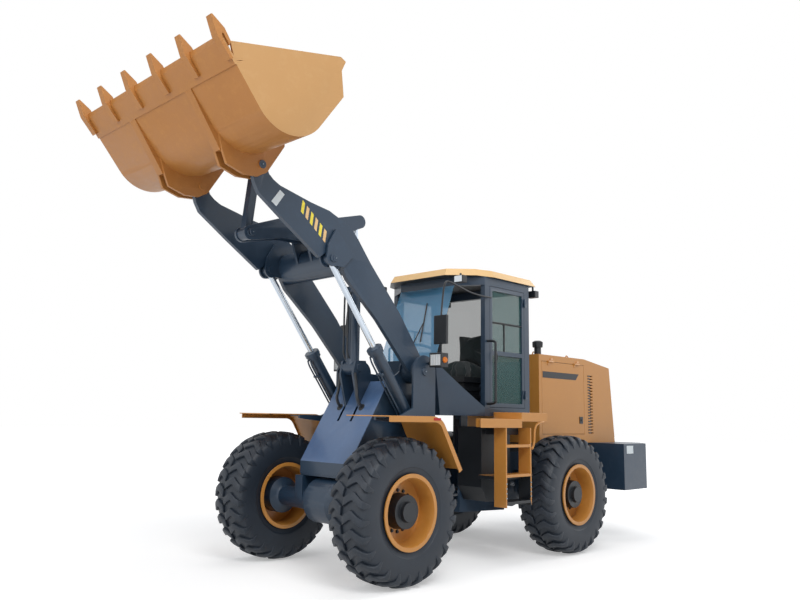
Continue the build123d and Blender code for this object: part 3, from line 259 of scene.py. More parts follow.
# %% Rubber, plastics, metals and glass
def plain_finish(name, slot, colour, shade, roughness, grain_mm, depth, **sockets):
    """A finish with one drift of tone and one fine grain; extra sockets go straight to the shader."""
    finish, tree = new_finish(name)
    where = node(tree, "ShaderNodeTexCoord")
    drift = node(
        tree, "ShaderNodeTexNoise", (), {"Scale": 1000 / 120, "Detail": 4.0}, [("Vector", where, "Object")]
    )
    grain = node(
        tree, "ShaderNodeTexNoise", (), {"Scale": 1000 / grain_mm, "Detail": 2.0}, [
            ("Vector", where, "Object")
        ]
    )
    tone = node(
        tree, "ShaderNodeMix", {"data_type": "RGBA"}, {6: paint_chart(colour), 7: paint_chart(shade)},
        [(0, drift, "Fac")],
    )
    skin = node(
        tree, "ShaderNodeBump", (), {"Strength": depth, "Distance": 0.001}, [("Height", grain, "Fac")]
    )
    shader = node(
        tree, "ShaderNodeBsdfPrincipled", (), {"Roughness": roughness, **sockets},
        [("Base Color", tone, 2), ("Normal", skin, 0)],
    )
    node(tree, "ShaderNodeOutputMaterial", (), (), [("Surface", shader, 0)])
    finishes[name], slot_of_finish[name] = finish, slot


plain_finish("tyre_rubber", "tyre", "1f2935", "161e28", 0.52, 9, 0.30)
plain_finish("moulded_black", "black", "171c22", "11151a", 0.46, 3, 0.15)
plain_finish("window_rubber", "black", "101317", "0c0f12", 0.6, 4, 0.1)
plain_finish("cast_hub", "black", "171d24", "11161c", 0.42, 8, 0.3)
plain_finish("cast_iron", "engine", "3c4348", "32383d", 0.6, 6, 0.4)
plain_finish("hard_chrome", "chrome", "c9d2dc", "bcc6d1", 0.13, 40, 0.02, Metallic=1.0)
plain_finish("zinc_plate", "chrome", "aeb9c2", "98a4ae", 0.35, 2, 0.1, Metallic=0.9)
plain_finish("cab_glass", "glass", "3e6f6d", "386765", 0.04, 80, 0.0, Alpha=0.42)
plain_finish("windscreen_glass", "glass", "6fb2e2", "66a9da", 0.04, 80, 0.0, Alpha=0.5)
plain_finish("lamp_lens", "lamp", "eef2f4", "e2e8ec", 0.1, 9, 0.25, Alpha=0.55)
plain_finish("lamp_mirror", "lamp", "d8dee3", "ccd3da", 0.08, 30, 0.05, Metallic=1.0)
plain_finish("red_reflector", "lamp", "c0140f", "a8100c", 0.25, 5, 0.4)
plain_finish("amber_lens", "lamp", "e07a10", "cc6c0c", 0.2, 5, 0.4)
plain_finish("blank_sign", "lamp", "e3ebee", "d8e2e6", 0.4, 20, 0.05)
plain_finish("yellow_stripe", "yellow", "f3e052", "eeda4a", 0.4, 20, 0.05)
plain_finish("peach_stripe", "yellow", "f0c890", "ecc288", 0.4, 20, 0.05)
print("finishes", len(finishes))

# %% [markdown]
# Seat covers on such machines are woven polyester over foam. The weave is two sets of threads, drawn
# 4 mm apart, coarser than real, so that it shows; the cloth scatters light back at grazing angles,
# which the sheen does.

# %% Woven seat cloth
finish, tree = new_finish("seat_cloth")
where = node(tree, "ShaderNodeTexCoord")
threads = [
    node(
        tree, "ShaderNodeTexWave", {"bands_direction": way}, {
            "Scale": 1000 / 4 / 20 * 3.14, "Distortion": 0.6
        },
        [("Vector", where, "Object")],
    )
    for way in ("X", "Y", "Z")
]
cross = node(
    tree, "ShaderNodeMath", {"operation": "MAXIMUM"}, (), [(0, threads[0], "Fac"), (1, threads[1], "Fac")]
)
cross = node(tree, "ShaderNodeMath", {"operation": "MINIMUM"}, (), [(0, cross, 0), (1, threads[2], "Fac")])
tone = node(
    tree, "ShaderNodeMix", {"data_type": "RGBA"}, {6: paint_chart("1f2a2c"), 7: paint_chart("2d3b3d")}, [
        (0, cross, 0)
    ]
)
skin = node(tree, "ShaderNodeBump", (), {"Strength": 0.4, "Distance": 0.001}, [("Height", cross, 0)])
shader = node(
    tree, "ShaderNodeBsdfPrincipled", (), {"Roughness": 0.85, "Sheen Weight": 0.35, "Sheen Roughness": 0.5},
    [("Base Color", tone, 2), ("Normal", skin, 0)],
)
node(tree, "ShaderNodeOutputMaterial", (), (), [("Surface", shader, 0)])
finishes["seat_cloth"], slot_of_finish["seat_cloth"] = finish, "seat"
print("seat cloth ready")

# %% [markdown]
# Everything that is added is made of a few workshop shapes: a round bar between two points, a block, a
# flat plate cut to an outline, an oval plate wrapped round two discs, a bolt, and a bent pipe. Each
# helper adds its shape to a bmesh, so that many of them can share one object.


# %% Workshop shapes
def facing(direction):
    """A turn that brings the z axis to a direction."""
    return Vector(direction).to_track_quat("Z", "Y").to_matrix().to_4x4()


def rod(shape, start, end, radius, end_radius=None, sides=24):
    """A round bar, or a cone where its end has another radius, with radii in mm."""
    line = end - start
    bmesh.ops.create_cone(
        shape, cap_ends=True, segments=sides, radius1=radius / 1000,
        radius2=(radius if end_radius is None else end_radius) / 1000, depth=line.length,
        matrix=Matrix.Translation((start + end) / 2) @ facing(line),
    )


def slab(shape, low, high):
    """A block between two opposite corners."""
    size = high - low
    stretch = Matrix.Diagonal((abs(size.x), abs(size.y), abs(size.z), 1.0))
    bmesh.ops.create_cube(shape, size=1.0, matrix=Matrix.Translation((low + high) / 2) @ stretch)


def cut_plate(shape, outline, thickness):
    """A flat plate: a face through the outline, pushed out by the vector thickness."""
    face = shape.faces.new([shape.verts.new(corner) for corner in outline])
    grown = bmesh.ops.extrude_face_region(shape, geom=[face], use_keep_orig=True)
    moved = [part for part in grown["geom"] if isinstance(part, bmesh.types.BMVert)]
    bmesh.ops.translate(shape, vec=thickness, verts=moved)


def join(shape, other):
    """Adds another bmesh to this one and frees it."""
    mesh = bpy.data.meshes.new("joined")
    other.to_mesh(mesh)
    other.free()
    shape.from_mesh(mesh)
    bpy.data.meshes.remove(mesh)


def oval_plate(shape, discs, out, thickness):
    """A plate wrapped round discs (place, radius in mm) that lie in one plane facing out."""
    fresh = bmesh.new()
    for place, radius in discs:
        for step in (0.0, thickness / 1000):
            bmesh.ops.create_circle(
                fresh, cap_ends=False, segments=28, radius=radius / 1000,
                matrix=Matrix.Translation(place + out * step) @ facing(out),
            )
    bmesh.ops.convex_hull(fresh, input=fresh.verts[:])
    bmesh.ops.dissolve_limit(fresh, angle_limit=math.radians(2), verts=fresh.verts[:], edges=fresh.edges[:])
    bmesh.ops.delete(fresh, geom=[e for e in fresh.edges if not e.link_faces], context="EDGES")
    bmesh.ops.delete(fresh, geom=[v for v in fresh.verts if not v.link_faces], context="VERTS")
    join(shape, fresh)


def bolt(shape, place, out, thread):
    """A hexagon bolt on its washer, for a thread in mm."""
    out = Vector(out).normalized()
    rod(shape, place - out * 0.001, place + out * thread * 0.0002, thread, sides=14)
    rod(shape, place, place + out * thread * 0.0008, thread * 0.88, thread * 0.78, sides=6)


def pipe(shape, points, diameter, around=2):
    """A bent pipe or hose through points, round a smooth NURBS line, with its diameter in mm."""
    curve = bpy.data.curves.new("pipe", "CURVE")
    curve.dimensions = "3D"
    curve.resolution_u, curve.bevel_resolution = 8, around
    curve.bevel_depth, curve.use_fill_caps = diameter / 2000, True
    spline = curve.splines.new("NURBS")
    spline.points.add(len(points) - 1)
    for knot, point in zip(spline.points, points):
        knot.co = (*point, 1.0)
    spline.order_u = 3
    spline.use_endpoint_u = True
    holder = bpy.data.objects.new("pipe", curve)
    mesh = bpy.data.meshes.new_from_object(holder)
    shape.from_mesh(mesh)
    bpy.data.objects.remove(holder)
    bpy.data.curves.remove(curve)
    bpy.data.meshes.remove(mesh)


def finish_piece(shape, name, finish, body, edge=0.0, angle=35, merge=True):
    """Turns a bmesh into an object with its finish and soft edges (mm), riding on a body."""
    if merge:
        bmesh.ops.remove_doubles(shape, verts=shape.verts[:], dist=0.00002)
    bmesh.ops.recalc_face_normals(shape, faces=shape.faces[:])
    mesh = bpy.data.meshes.new(name)
    shape.to_mesh(mesh)
    shape.free()
    names = (finish,) if isinstance(finish, str) else finish
    for each in names:
        mesh.materials.append(finishes[each])
    for face in mesh.polygons:
        face.use_smooth = True
    mesh.set_sharp_from_angle(angle=math.radians(angle))
    made = bpy.data.objects.new(name, mesh)
    bpy.context.scene.collection.objects.link(made)
    if edge:
        bevel = made.modifiers.new("edges", "BEVEL")
        bevel.width, bevel.segments, bevel.limit_method = edge / 1000, 2, "ANGLE"
        bevel.angle_limit, bevel.harden_normals = math.radians(angle), True
    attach(made, body)
    return made


print("workshop shapes ready")

# %% [markdown]
# The frame's own parts arrive as loose triangles with knife edges. Real plate is flame cut and ground,
# so every edge catches a thin line of light. Each part is copied, its corners are merged and its flat
# faces joined again, and a Bevel modifier rounds the edges. The copy then stands for the frame's part.
# Where one part wears two paints, such as a ladder whose lowest step is black, a small rule picks the
# paint for each face from its place and direction. On the bucket's side plates and the front fenders'
# tops the second paint is a paler copy that stands for light falling on them: painted light.


# %% Soft-edged copies of the frame's parts
def soften(name, finish, edge=3.0, angle=32, pick=None, corners=False):
    """A copy of a frame part with rounded edges; pick gives each face, or its corners, a finish number."""
    shape = bmesh.new()
    shape.from_mesh(nodes[name].data)
    bmesh.ops.remove_doubles(shape, verts=shape.verts[:], dist=0.00005)
    bmesh.ops.dissolve_limit(
        shape, angle_limit=math.radians(0.5), verts=shape.verts[:], edges=shape.edges[:],
        use_dissolve_boundaries=False,
    )
    if pick:
        shape.normal_update()
        for face in shape.faces:
            places = [c.co for c in face.verts] if corners else [face.calc_center_median()]
            places = [(place - Vector((steer_x, 0, 0))) * 1000 for place in places]
            face.material_index = int(all(pick(place, face.normal) for place in places))
    made = finish_piece(shape, name + "_soft", finish, body_of_node[name], edge, angle, merge=False)
    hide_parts(name)
    return made


def eye_of(pin, radius):
    """Picks the faces near a pin that runs across the machine."""
    centre = (pin - Vector((steer_x, 0, 0))) * 1000
    return lambda c, n: math.hypot(c.x - centre.x, c.z - centre.z) < radius


slot_of = {s["node"]: s["material_slot"] for s in record["subparts"]}
finish_of_slot = {
    "chassis": "frame_enamel", "engine": "cast_iron", "yellow": "amber_enamel", "bucket": "bucket_enamel",
    "black": "moulded_black", "glass": "cab_glass", "seat": "seat_cloth", "cover": "cover_enamel",
    "lamp": "moulded_black", "chrome": "hard_chrome", "tyre": "tyre_rubber",
}
lift_eye = slanted(boom_pin, boom_pitch, 1649, 0, 0)
tilt_eye = slanted(boom_pin, boom_pitch, 1408, 963, 0)
two_paints = {
    "front_cover": (("cover_enamel", "frame_enamel"), lambda c, n: n.x > 0.95 and c.z < 1085),
    "ladders": (("amber_enamel", "moulded_black"), lambda c, n: c.z < 930 or c.z < 700),
    # The bucket's side plates take the paler copy: painted light on the side faces.
    "bucket": (("bucket_enamel", "bucket_side_painted_light"), lambda c, n: abs(n.y) > 0.9 and abs(c.y) > 1215),
    "cab_roof": (("pale_roof_and_fender_highlight", "moulded_black"), lambda c, n: n.z < -0.05),
    "platforms": (("amber_enamel", "amber_tread"), lambda c, n: n.z > 0.9),
    # The fenders' upward faces take the pale paint: a painted highlight where light falls from above.
    "front_fenders": (("amber_enamel", "pale_roof_and_fender_highlight"), lambda c, n: n.z > 0.9),
    "cab_glass": (("cab_glass", "windscreen_glass"), lambda c, n: n.x > 0.9 and c.x > 100),
    "lift_rods": (("hard_chrome", "frame_enamel"), eye_of(lift_eye, 62)),
    "tilt_rod": (("hard_chrome", "frame_enamel"), eye_of(tilt_eye, 66)),
    "counterweight": (("frame_enamel", "moulded_black"), lambda c, n: c.z > 1264 and n.z < 0.5),
}
glass_node = ("cab_glass",)
for name in sorted(nodes):
    if name.endswith(("_tyre", "_rim")) or name == "seat":
        continue
    finish, pick = two_paints.get(name, (finish_of_slot[slot_of[name]], None))
    soften(name, finish, 0.8 if name in glass_node else 3.0, pick=pick)
print("softened", len(nodes) - 9)

# %% [markdown]
# A cab door is a painted frame with glass in it, in one part. Its glass faces lie in the middle of the
# frame's thickness, so a rule on their distance from the outside finds them.

# %% Glass of the doors
for word in ("left", "right"):
    door = bpy.data.objects[f"cab_door_{word}_soft"]
    door.data.materials.append(finishes["cab_glass"])
    count = 0
    for face in door.data.polygons:
        if abs(face.normal.y) > 0.9 and 0.705 < abs(face.center.y) < 0.721:
            face.material_index, count = 1, count + 1
    print("door", word, "glass faces", count)

# %% [markdown]
# A loader tyre is a bias-ply casing with a deep directional tread. Its lugs are hooks: each starts at
# the centre line, leans forward to about half the width, comes back to the shoulder, and dies away as
# a fin down the sidewall. One lug is a flat grid pushed up into a slab, whose points are then rolled
# on to the casing's outline. Spin copies it round the tyre, and a mirrored copy, half a pitch on,
# makes the other half.

# %% Casing outline and lug plan
tyre_low, tyre_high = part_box("front_left_tyre")
tyre_radius = (tyre_high[2] - tyre_low[2]) * 500
lug_count = 26
lug_pitch = 2 * math.pi / lug_count
# across half the tread: width and radius of the groove, lug height, sweep and half width in pitches
lug_plan = [
    (10, 659, 26, 0.25, 0.27), (60, 658, 27, 0.45, 0.27), (104, 655, 27, 0.61, 0.27), (
        122, 651, 27, 0.58, 0.27
    ),
    (160, 641, 28, 0.38, 0.27), (196, 622, 28, 0.18, 0.26), (210, 606, 17, 0.15, 0.22), (
        218, 580, 9, 0.17, 0.16
    ),
    (222, 545, 4, 0.18, 0.10),
]


def on_casing(share, sideways, height):
    """A point of a lug: share of the way out, sideways from -1 to 1, and 0 or 1 for foot or top."""
    spot = share * (len(lug_plan) - 1)
    index = min(int(spot), len(lug_plan) - 2)
    before, after = lug_plan[index], lug_plan[index + 1]
    width, radius, tall, sweep, half = (p + (q - p) * (spot - index) for p, q in zip(before, after))
    run, drop = after[0] - before[0], before[1] - after[1]
    length = math.hypot(run, drop)
    rise = tall * height - 3 * (1 - height)
    width, radius = width + rise * drop / length, radius + rise * run / length
    angle = (sweep + sideways * half * (1 - 0.16 * height)) * lug_pitch
    return Vector((radius * math.sin(angle), width, -radius * math.cos(angle))) / 1000


# %% The tyre
tyre = bmesh.new()
bmesh.ops.create_grid(tyre, x_segments=16, y_segments=2, size=0.5)
grown = bmesh.ops.extrude_face_region(tyre, geom=tyre.faces[:], use_keep_orig=True)
bmesh.ops.translate(tyre, vec=UP, verts=[g for g in grown["geom"] if isinstance(g, bmesh.types.BMVert)])
for corner in tyre.verts:
    corner.co = on_casing(corner.co.x + 0.5, corner.co.y * 2, corner.co.z)
bmesh.ops.recalc_face_normals(tyre, faces=tyre.faces[:])
sharp = [e for e in tyre.edges if len(e.link_faces) == 2 and e.calc_face_angle(0) > 0.7]
bmesh.ops.bevel(tyre, geom=sharp, offset=0.004, affect="EDGES", segments=2, profile=0.5, material=-1)
bmesh.ops.spin(
    tyre, geom=tyre.verts[:] + tyre.edges[:] + tyre.faces[:], cent=(0, 0, 0), axis=LEFT, dvec=(0, 0, 0),
    angle=lug_pitch * (lug_count - 1), steps=lug_count - 1, use_duplicate=True,
)
half = tyre.verts[:] + tyre.edges[:] + tyre.faces[:]
other = bmesh.ops.duplicate(tyre, geom=half)["geom"]
other = [g for g in other if isinstance(g, bmesh.types.BMVert)]
bmesh.ops.transform(
    tyre, matrix=Matrix.Rotation(lug_pitch / 2, 4, "Y") @ Matrix.Diagonal((1, -1, 1, 1)), verts=other
)
# the casing: its outline from bead to bead, spun round the axle
outline = [(w, r) for w, r, *_ in lug_plan] + [
    (222.5, 505), (221, 460), (216, 425), (214, 412), (209, 408), (203, 392), (196, 372), (192, 352), (
        176, 318
    ),
]
outline = outline[::-1] + [(-w, r) for w, r in outline]
ring = bmesh.new()
corners = [ring.verts.new((0, w / 1000, -r / 1000)) for w, r in outline]
edges = [ring.edges.new(pair) for pair in zip(corners, corners[1:] + corners[:1])]
bmesh.ops.spin(
    ring, geom=corners + edges, cent=(0, 0, 0), axis=LEFT, dvec=(0, 0, 0), angle=2 * math.pi,
    steps=4 * lug_count, use_merge=True,
)
join(tyre, ring)
bmesh.ops.recalc_face_normals(tyre, faces=tyre.faces[:])
tyre_mesh = bpy.data.meshes.new("tyre")
tyre.to_mesh(tyre_mesh)
tyre.free()
print("tyre faces", len(tyre_mesh.polygons), "radius", tyre_radius)

# %% [markdown]
# Each wheel gets a copy of the tyre, and a rim in two finishes: an orange dish, and the cast hub of
# the final drive in black. A ring of nuts holds the rim and smaller bolts hold the hub's cover.

# %% Wheels
for corner in ("front_left", "front_right", "rear_left", "rear_right"):
    low, high = (Vector(v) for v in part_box(f"{corner}_tyre"))
    centre = (low + high) / 2
    hand = 1 if centre.y > 0 else -1
    shape = bmesh.new()
    shape.from_mesh(tyre_mesh)
    bmesh.ops.translate(shape, vec=centre, verts=shape.verts[:])
    made = finish_piece(shape, f"{corner}_tread", "tyre_rubber", f"{corner}_wheel", merge=False)
    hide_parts(f"{corner}_tyre")
    hub = (centre.x - steer_x) * 1000, centre.z * 1000
    soften(
        f"{corner}_rim", ("amber_enamel", "cast_hub"),
        pick=lambda c, n: (
            math.hypot(c.x - hub[0], c.z - hub[1]) < 168 and hand * c.y > centre.y * hand * 1000 + 28
        ),
        corners=True,
    )
    nuts, screws = bmesh.new(), bmesh.new()
    face = centre + hand * LEFT * 0.030
    for index in range(16):
        way = Matrix.Rotation(2 * math.pi * index / 16, 4, "Y") @ Vector((0.189, 0, 0))
        bolt(nuts, face + way, hand * LEFT, 18)
    for count, radius, out, thread in ((12, 0.128, 0.110, 10), (4, 0.062, 0.145, 8), (1, 0.0, 0.145, 14)):
        for index in range(count):
            way = Matrix.Rotation(2 * math.pi * index / count + 0.2, 4, "Y") @ Vector((radius, 0, 0))
            bolt(screws, centre + way + hand * LEFT * out, hand * LEFT, thread)
    rod(screws, centre + hand * LEFT * 0.108, centre + hand * LEFT * 0.118, 112, 106, sides=48)
    finish_piece(nuts, f"{corner}_nuts", "cast_hub", f"{corner}_wheel")
    finish_piece(screws, f"{corner}_hub_screws", "cast_hub", f"{corner}_wheel")
    valve = bmesh.new()
    pipe(
        valve, [centre + Vector((0.262, hand * y, -0.04)) for y in (0.10, 0.13, 0.15)], 9
    )
    finish_piece(valve, f"{corner}_valve", "zinc_plate", f"{corner}_wheel")
print("wheels dressed")

# %% [markdown]
# Small parts sit on the skins that carry them. A line drawn from the side until it meets the frame's
# part gives the exact place, so that a sign or a bolt lies on the sheet even where the sheet slants.


# %% Places on a skin
skins = {}


def on_side(name, x, z, hand):
    """Where a level line from the left (1) or right (-1) first meets a frame part, and the way out."""
    if name not in skins:
        shape = bmesh.new()
        shape.from_mesh(nodes[name].data)
        skins[name] = BVHTree.FromBMesh(shape)
        shape.free()
    place, out, _, _ = skins[name].ray_cast(at(x, hand * 3000, z), -hand * LEFT)
    return place, out


def side_patch(shape, name, corners, hand, thickness=2):
    """A thin plate on the side of a frame part, through corners given as forward and up in mm."""
    met = [on_side(name, x, z, hand) for x, z in corners]
    cut_plate(shape, [place for place, _ in met], met[0][1] * thickness / 1000)


def square(x, z, long, tall):
    return [(x, z), (x + long, z), (x + long, z + tall), (x, z + tall)]


# %% [markdown]
# Every pin of the loader arms is greased through its end. The end shows a turned face, a raised ring
# and a grease nipple, and an oval keeper plate with one bolt stops the pin from turning.

# %% Pin ends and keeper plates
lift_offset = slanted(boom_pin, boom_pitch, 1630, 14, 0)
pin_ends = [
    ("boom_pivot", boom_pin, 627, 44, "front_body"), ("bucket_pivot", bucket_pin, 582, 40, "bucket"),
    ("crank_pivot", crank_pin, 142, 38, "boom"), ("link_pivot", link_pin, 125, 34, "bellcrank"),
    ("lift_pivot", lift_offset, 572, 34, "boom"),
]
for name, pin, half, radius, body in pin_ends:
    shape, nipples = bmesh.new(), bmesh.new()
    for hand in (1, -1):
        face, out = Vector((pin.x, hand * half / 1000, pin.z)), hand * LEFT
        rod(shape, face - out * 0.002, face + out * 0.004, radius, radius - 2, sides=36)
        rod(shape, face, face + out * 0.006, radius * 0.45, radius * 0.4, sides=20)
        rod(nipples, face + out * 0.004, face + out * 0.014, 6, 4, sides=8)
    finish_piece(shape, name + "_ends", "frame_enamel", body, 0.8)
    finish_piece(nipples, name + "_nipples", "zinc_plate", body)
keepers = bmesh.new()
for hand in (1, -1):
    middle, far = (
        slanted(boom_pin, boom_pitch, along, above, hand * 560) for along, above in ((1630, 14), (1536, 0))
    )
    for place in (middle, far):
        place.y = hand * 0.525
    oval_plate(keepers, [(middle, 60), (far, 24)], hand * LEFT, 12)
    bolt(keepers, far + hand * LEFT * 0.012, hand * LEFT, 14)
finish_piece(keepers, "lift_pin_keepers", "frame_enamel", "boom", 1.2)
print("pin ends", len(pin_ends))

# %% [markdown]
# A blank plate and a short row of plain slanted bars dress the outside of each arm. The bars alternate
# between two warm paints, a plain safety marking.

# %% Boom plate and bars
plates, bars, pale = bmesh.new(), bmesh.new(), bmesh.new()
for hand in (1, -1):
    def arm(along, above):
        return slanted(boom_pin, boom_pitch, along, above, hand * 525)
    cut_plate(
        plates, [arm(*c) for c in ((2494, 20), (2430, 28), (2418, -130), (2486, -138))], hand * LEFT * 0.002
    )
    for index in range(6):
        start = 1800 + index * 72
        outline = [(start, 60), (start + 40, 60), (start + 100, 160), (start + 60, 160)]
        cut_plate(bars if index % 2 else pale, [arm(*c) for c in outline], hand * LEFT * 0.001)
finish_piece(plates, "boom_plates", "blank_sign", "boom")
finish_piece(bars, "boom_bars_yellow", "yellow_stripe", "boom")
finish_piece(pale, "boom_bars_pale", "peach_stripe", "boom")

# %% [markdown]
# A cylinder's barrel ends in a screwed gland with a ring of bolts, where the wiper seal sits. Steel
# pipes run along the barrel to bring oil to the rod end, held by a saddle at each end.

# %% Cylinder glands and pipes
glands, pipes = bmesh.new(), bmesh.new()
lift_way = Vector((0.6077, 0, 0.7942))
down_front = Vector((0.7942, 0, -0.6077))
for hand in (1, -1):
    foot = Vector((lift_pin.x, hand * 0.5, lift_pin.z))
    rod(glands, foot + lift_way * 1.085, foot + lift_way * 1.125, 84, sides=40)
    for index in range(8):
        way = Matrix.Rotation(2 * math.pi * index / 8, 4, lift_way) @ down_front
        bolt(glands, foot + lift_way * 1.125 + way * 0.066, lift_way, 8)
    for side in (-0.022, 0.022):
        base = foot + Vector((0, side, 0))
        route = [(0.16, 0.074), (0.20, 0.094), (0.26, 0.098), (0.96, 0.098), (1.03, 0.096), (1.07, 0.080)]
        pipe(pipes, [base + lift_way * along + down_front * off for along, off in route], 18)
    for along in (0.34, 0.86):
        middle = foot + lift_way * along + down_front * 0.090
        rod(pipes, middle - LEFT * 0.045, middle + LEFT * 0.045, 14, sides=12)
finish_piece(glands, "lift_glands", "frame_enamel", "lift_barrels", 1.0)
finish_piece(pipes, "lift_pipes", "frame_enamel", "lift_barrels")
glands, pipes = bmesh.new(), bmesh.new()
rise = Vector((0.003, 0, 1)).normalized()
foot = Vector((tilt_pin.x, 0, tilt_pin.z))
rod(glands, foot + rise * 0.83, foot + rise * 0.868, 92, sides=40)
for index in range(8):
    way = Matrix.Rotation(2 * math.pi * index / 8, 4, "Z") @ FORWARD
    bolt(glands, foot + rise * 0.868 + way * 0.075, rise, 8)
for side in (-0.03, 0.03):
    route = [(0.10, 0.082), (0.14, 0.104), (0.20, 0.108), (0.72, 0.108), (0.78, 0.104), (0.81, 0.085)]
    pipe(pipes, [foot + rise * up + FORWARD * off + LEFT * side for up, off in route], 20)
finish_piece(glands, "tilt_gland", "frame_enamel", "tilt_barrel", 1.0)
finish_piece(pipes, "tilt_pipes", "moulded_black", "tilt_barrel")
print("cylinders dressed")

# %% [markdown]
# Bolts hold the sloping service cover to the tower, and two rubber grommets let hoses out to the tilt
# cylinder. The hoses are two-wire hydraulic hose, black and a little glossy, with crimped steel ends.

# %% Front cover
cover_top, cover_low, cover_out = (1022, 1924), (1542, 1071), Vector((0.854, 0, 0.52))
screws, rubber, hoses = bmesh.new(), bmesh.new(), bmesh.new()


def on_cover(share, y):
    """A place on the sloping cover: share of the way down, and to the left in mm."""
    x, z = (p + (q - p) * share for p, q in zip(cover_top, cover_low))
    return at(x, y, z)


for hand in (1, -1):
    for share in (0.08, 0.3, 0.52, 0.74, 0.95):
        bolt(screws, on_cover(share, hand * 352), cover_out, 10)
    ring = on_cover(0.33, hand * 170)
    rod(rubber, ring - cover_out * 0.004, ring + cover_out * 0.012, 46, 40, sides=32)
    pipe(
        hoses,
        [ring - cover_out * 0.01, ring + cover_out * 0.09 + UP * 0.03, ring + Vector(
            (0.05, -hand * 0.03, 0.22)
        ),
         at(1260, hand * 118, 2010)], 32,
    )
finish_piece(screws, "cover_screws", "zinc_plate", "front_body")
finish_piece(rubber, "cover_grommets", "window_rubber", "front_body", 1.5)
finish_piece(hoses, "tilt_hoses", "moulded_black", "front_body")

# %% [markdown]
# Each headlamp is a moulded housing with a bright reflector behind a ribbed clear lens, and an amber
# turn lamp on its outer end. A red reflector marks the outer edge of each front mudguard.

# %% Headlamps and reflectors
low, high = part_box("headlights")
lenses, mirrors, rims, ambers, reds = (bmesh.new() for _ in range(5))
for hand in (1, -1):
    inner, outer = hand * 0.700, hand * 0.840
    slab(mirrors, Vector((high.x, inner, low.z + 0.018)), Vector((high.x + 0.004, outer, high.z - 0.018)))
    slab(
        lenses, Vector((high.x + 0.006, inner, low.z + 0.018)),
        Vector((high.x + 0.016, outer, high.z - 0.018)),
    )
    for index in range(4):
        y = inner + (outer - inner) * (index + 0.5) / 4
        foot, head = Vector((high.x + 0.016, y, low.z + 0.02)), Vector((high.x + 0.016, y, high.z - 0.02))
        rod(lenses, foot, head, 6, sides=10)
    for z in (low.z + 0.008, high.z - 0.008):
        near, far = inner - hand * 0.01, outer + hand * 0.01
        rod(rims, Vector((high.x + 0.006, near, z)), Vector((high.x + 0.006, far, z)), 11)
    for y in (inner - hand * 0.006, outer + hand * 0.006):
        rod(rims, Vector((high.x + 0.006, y, low.z)), Vector((high.x + 0.006, y, high.z)), 11)
    rod(ambers, at(655, hand * 848, 2155), at(655, hand * 866, 2155), 34, 27, sides=32)
    spot, out = on_side("front_fenders", 1130, 1540, hand)
    slab(reds, spot + Vector((-0.05, -hand * 0.001, -0.012)), spot + Vector((0.05, hand * 0.005, 0.012)))
finish_piece(mirrors, "headlamp_mirrors", "lamp_mirror", "front_body", 1.0)
finish_piece(lenses, "headlamp_lenses", "lamp_lens", "front_body")
finish_piece(rims, "headlamp_rims", "moulded_black", "front_body")
finish_piece(ambers, "turn_lamps", "amber_lens", "front_body", 1.5)
finish_piece(reds, "mudguard_reflectors", "red_reflector", "front_body", 1.5)
print("lamps and reflectors")

# %% [markdown]
# The cab carries work lamps under its roof, mirrors on bent tube arms, grab rails beside the doors and
# door handles. Tubes are bent from one length, so their corners are smooth.

# %% Cab fittings
tubes, boxes, glass = (bmesh.new() for _ in range(3))
for hand in (1, -1):
    route = [(-255, 2937), (35, 2928), (372, 3001), (525, 3034), (582, 2970), (615, 2640)]
    pipe(tubes, [at(x, hand * 760, z) for x, z in route], 20)
    route = [(735, 2432), (850, 2432), (850, 2380), (850, 1780), (850, 1719), (735, 1719)]
    pipe(tubes, [at(-220, hand * y, z) for y, z in route], 28)
    slab(boxes, at(600, hand * 670, 2330), at(634, hand * 850, 2640))
    slab(glass, at(594, hand * 680, 2342), at(601, hand * 840, 2628))
    for x, z, y, way in ((150, 3110, 640, 1), (-1165, 3088, 712, -1)):
        slab(boxes, at(x - 40, hand * (y - 62), z - 42), at(x + 40, hand * (y + 62), z + 42))
        slab(glass, at(x + way * 39, hand * (y - 54), z - 35), at(x + way * 46, hand * (y + 54), z + 35))
        rod(boxes, at(x, hand * y, z + 30), at(x, hand * y, 3180), 12)
finish_piece(tubes, "cab_tubes", "moulded_black", "rear_body")
finish_piece(boxes, "mirror_and_lamp_bodies", "moulded_black", "rear_body", 6)
finish_piece(glass, "mirror_and_lamp_glass", "lamp_mirror", "rear_body", 1.5)
for word, hand in (("left", 1), ("right", -1)):
    handle, bars = bmesh.new(), bmesh.new()
    route = ((-330, 755, 2190), (-330, 790, 2195), (-330, 790, 2310), (-330, 755, 2315))
    pipe(handle, [at(x, hand * y, z) for x, y, z in route], 16)
    for start, end in (
        ((-900, 2660), (-318, 2660)), ((-555, 2660), (-555, 2300)), ((-900, 2300), (-318, 2300))
    ):
        rod(bars, at(start[0], hand * 718, start[1]), at(end[0], hand * 718, end[1]), 11, sides=12)
    finish_piece(handle, f"door_handle_{word}", "moulded_black", f"cab_door_{word}")
    finish_piece(bars, f"door_bars_{word}", "window_rubber", f"cab_door_{word}")

# %% The wiper


def on_windscreen(share, y, off=12):
    """A place just off the windscreen: share of the way up, to the left in mm, and off it in mm."""
    return at(345 - 330 * share + off, y, 2200 + 880 * share)


wiper = bmesh.new()
rod(wiper, on_windscreen(0.02, 0, 4), on_windscreen(0.03, 0, 34), 20)
pipe(wiper, [on_windscreen(0.03, 0, 26), on_windscreen(0.25, 60, 24), on_windscreen(0.5, 120, 20)], 12)
rod(wiper, on_windscreen(0.24, 150, 14), on_windscreen(0.78, 90, 14), 8, sides=10)
finish_piece(wiper, "wiper", "moulded_black", "rear_body")
print("cab fitted")

# %% [markdown]
# The seat is foam in a woven cover, on a suspension base hidden in a rubber bellows. Foam bulges
# between its seams, so each cushion is a block that is blown up a little under cloth rules.

# %% Seat
low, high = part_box("seat")


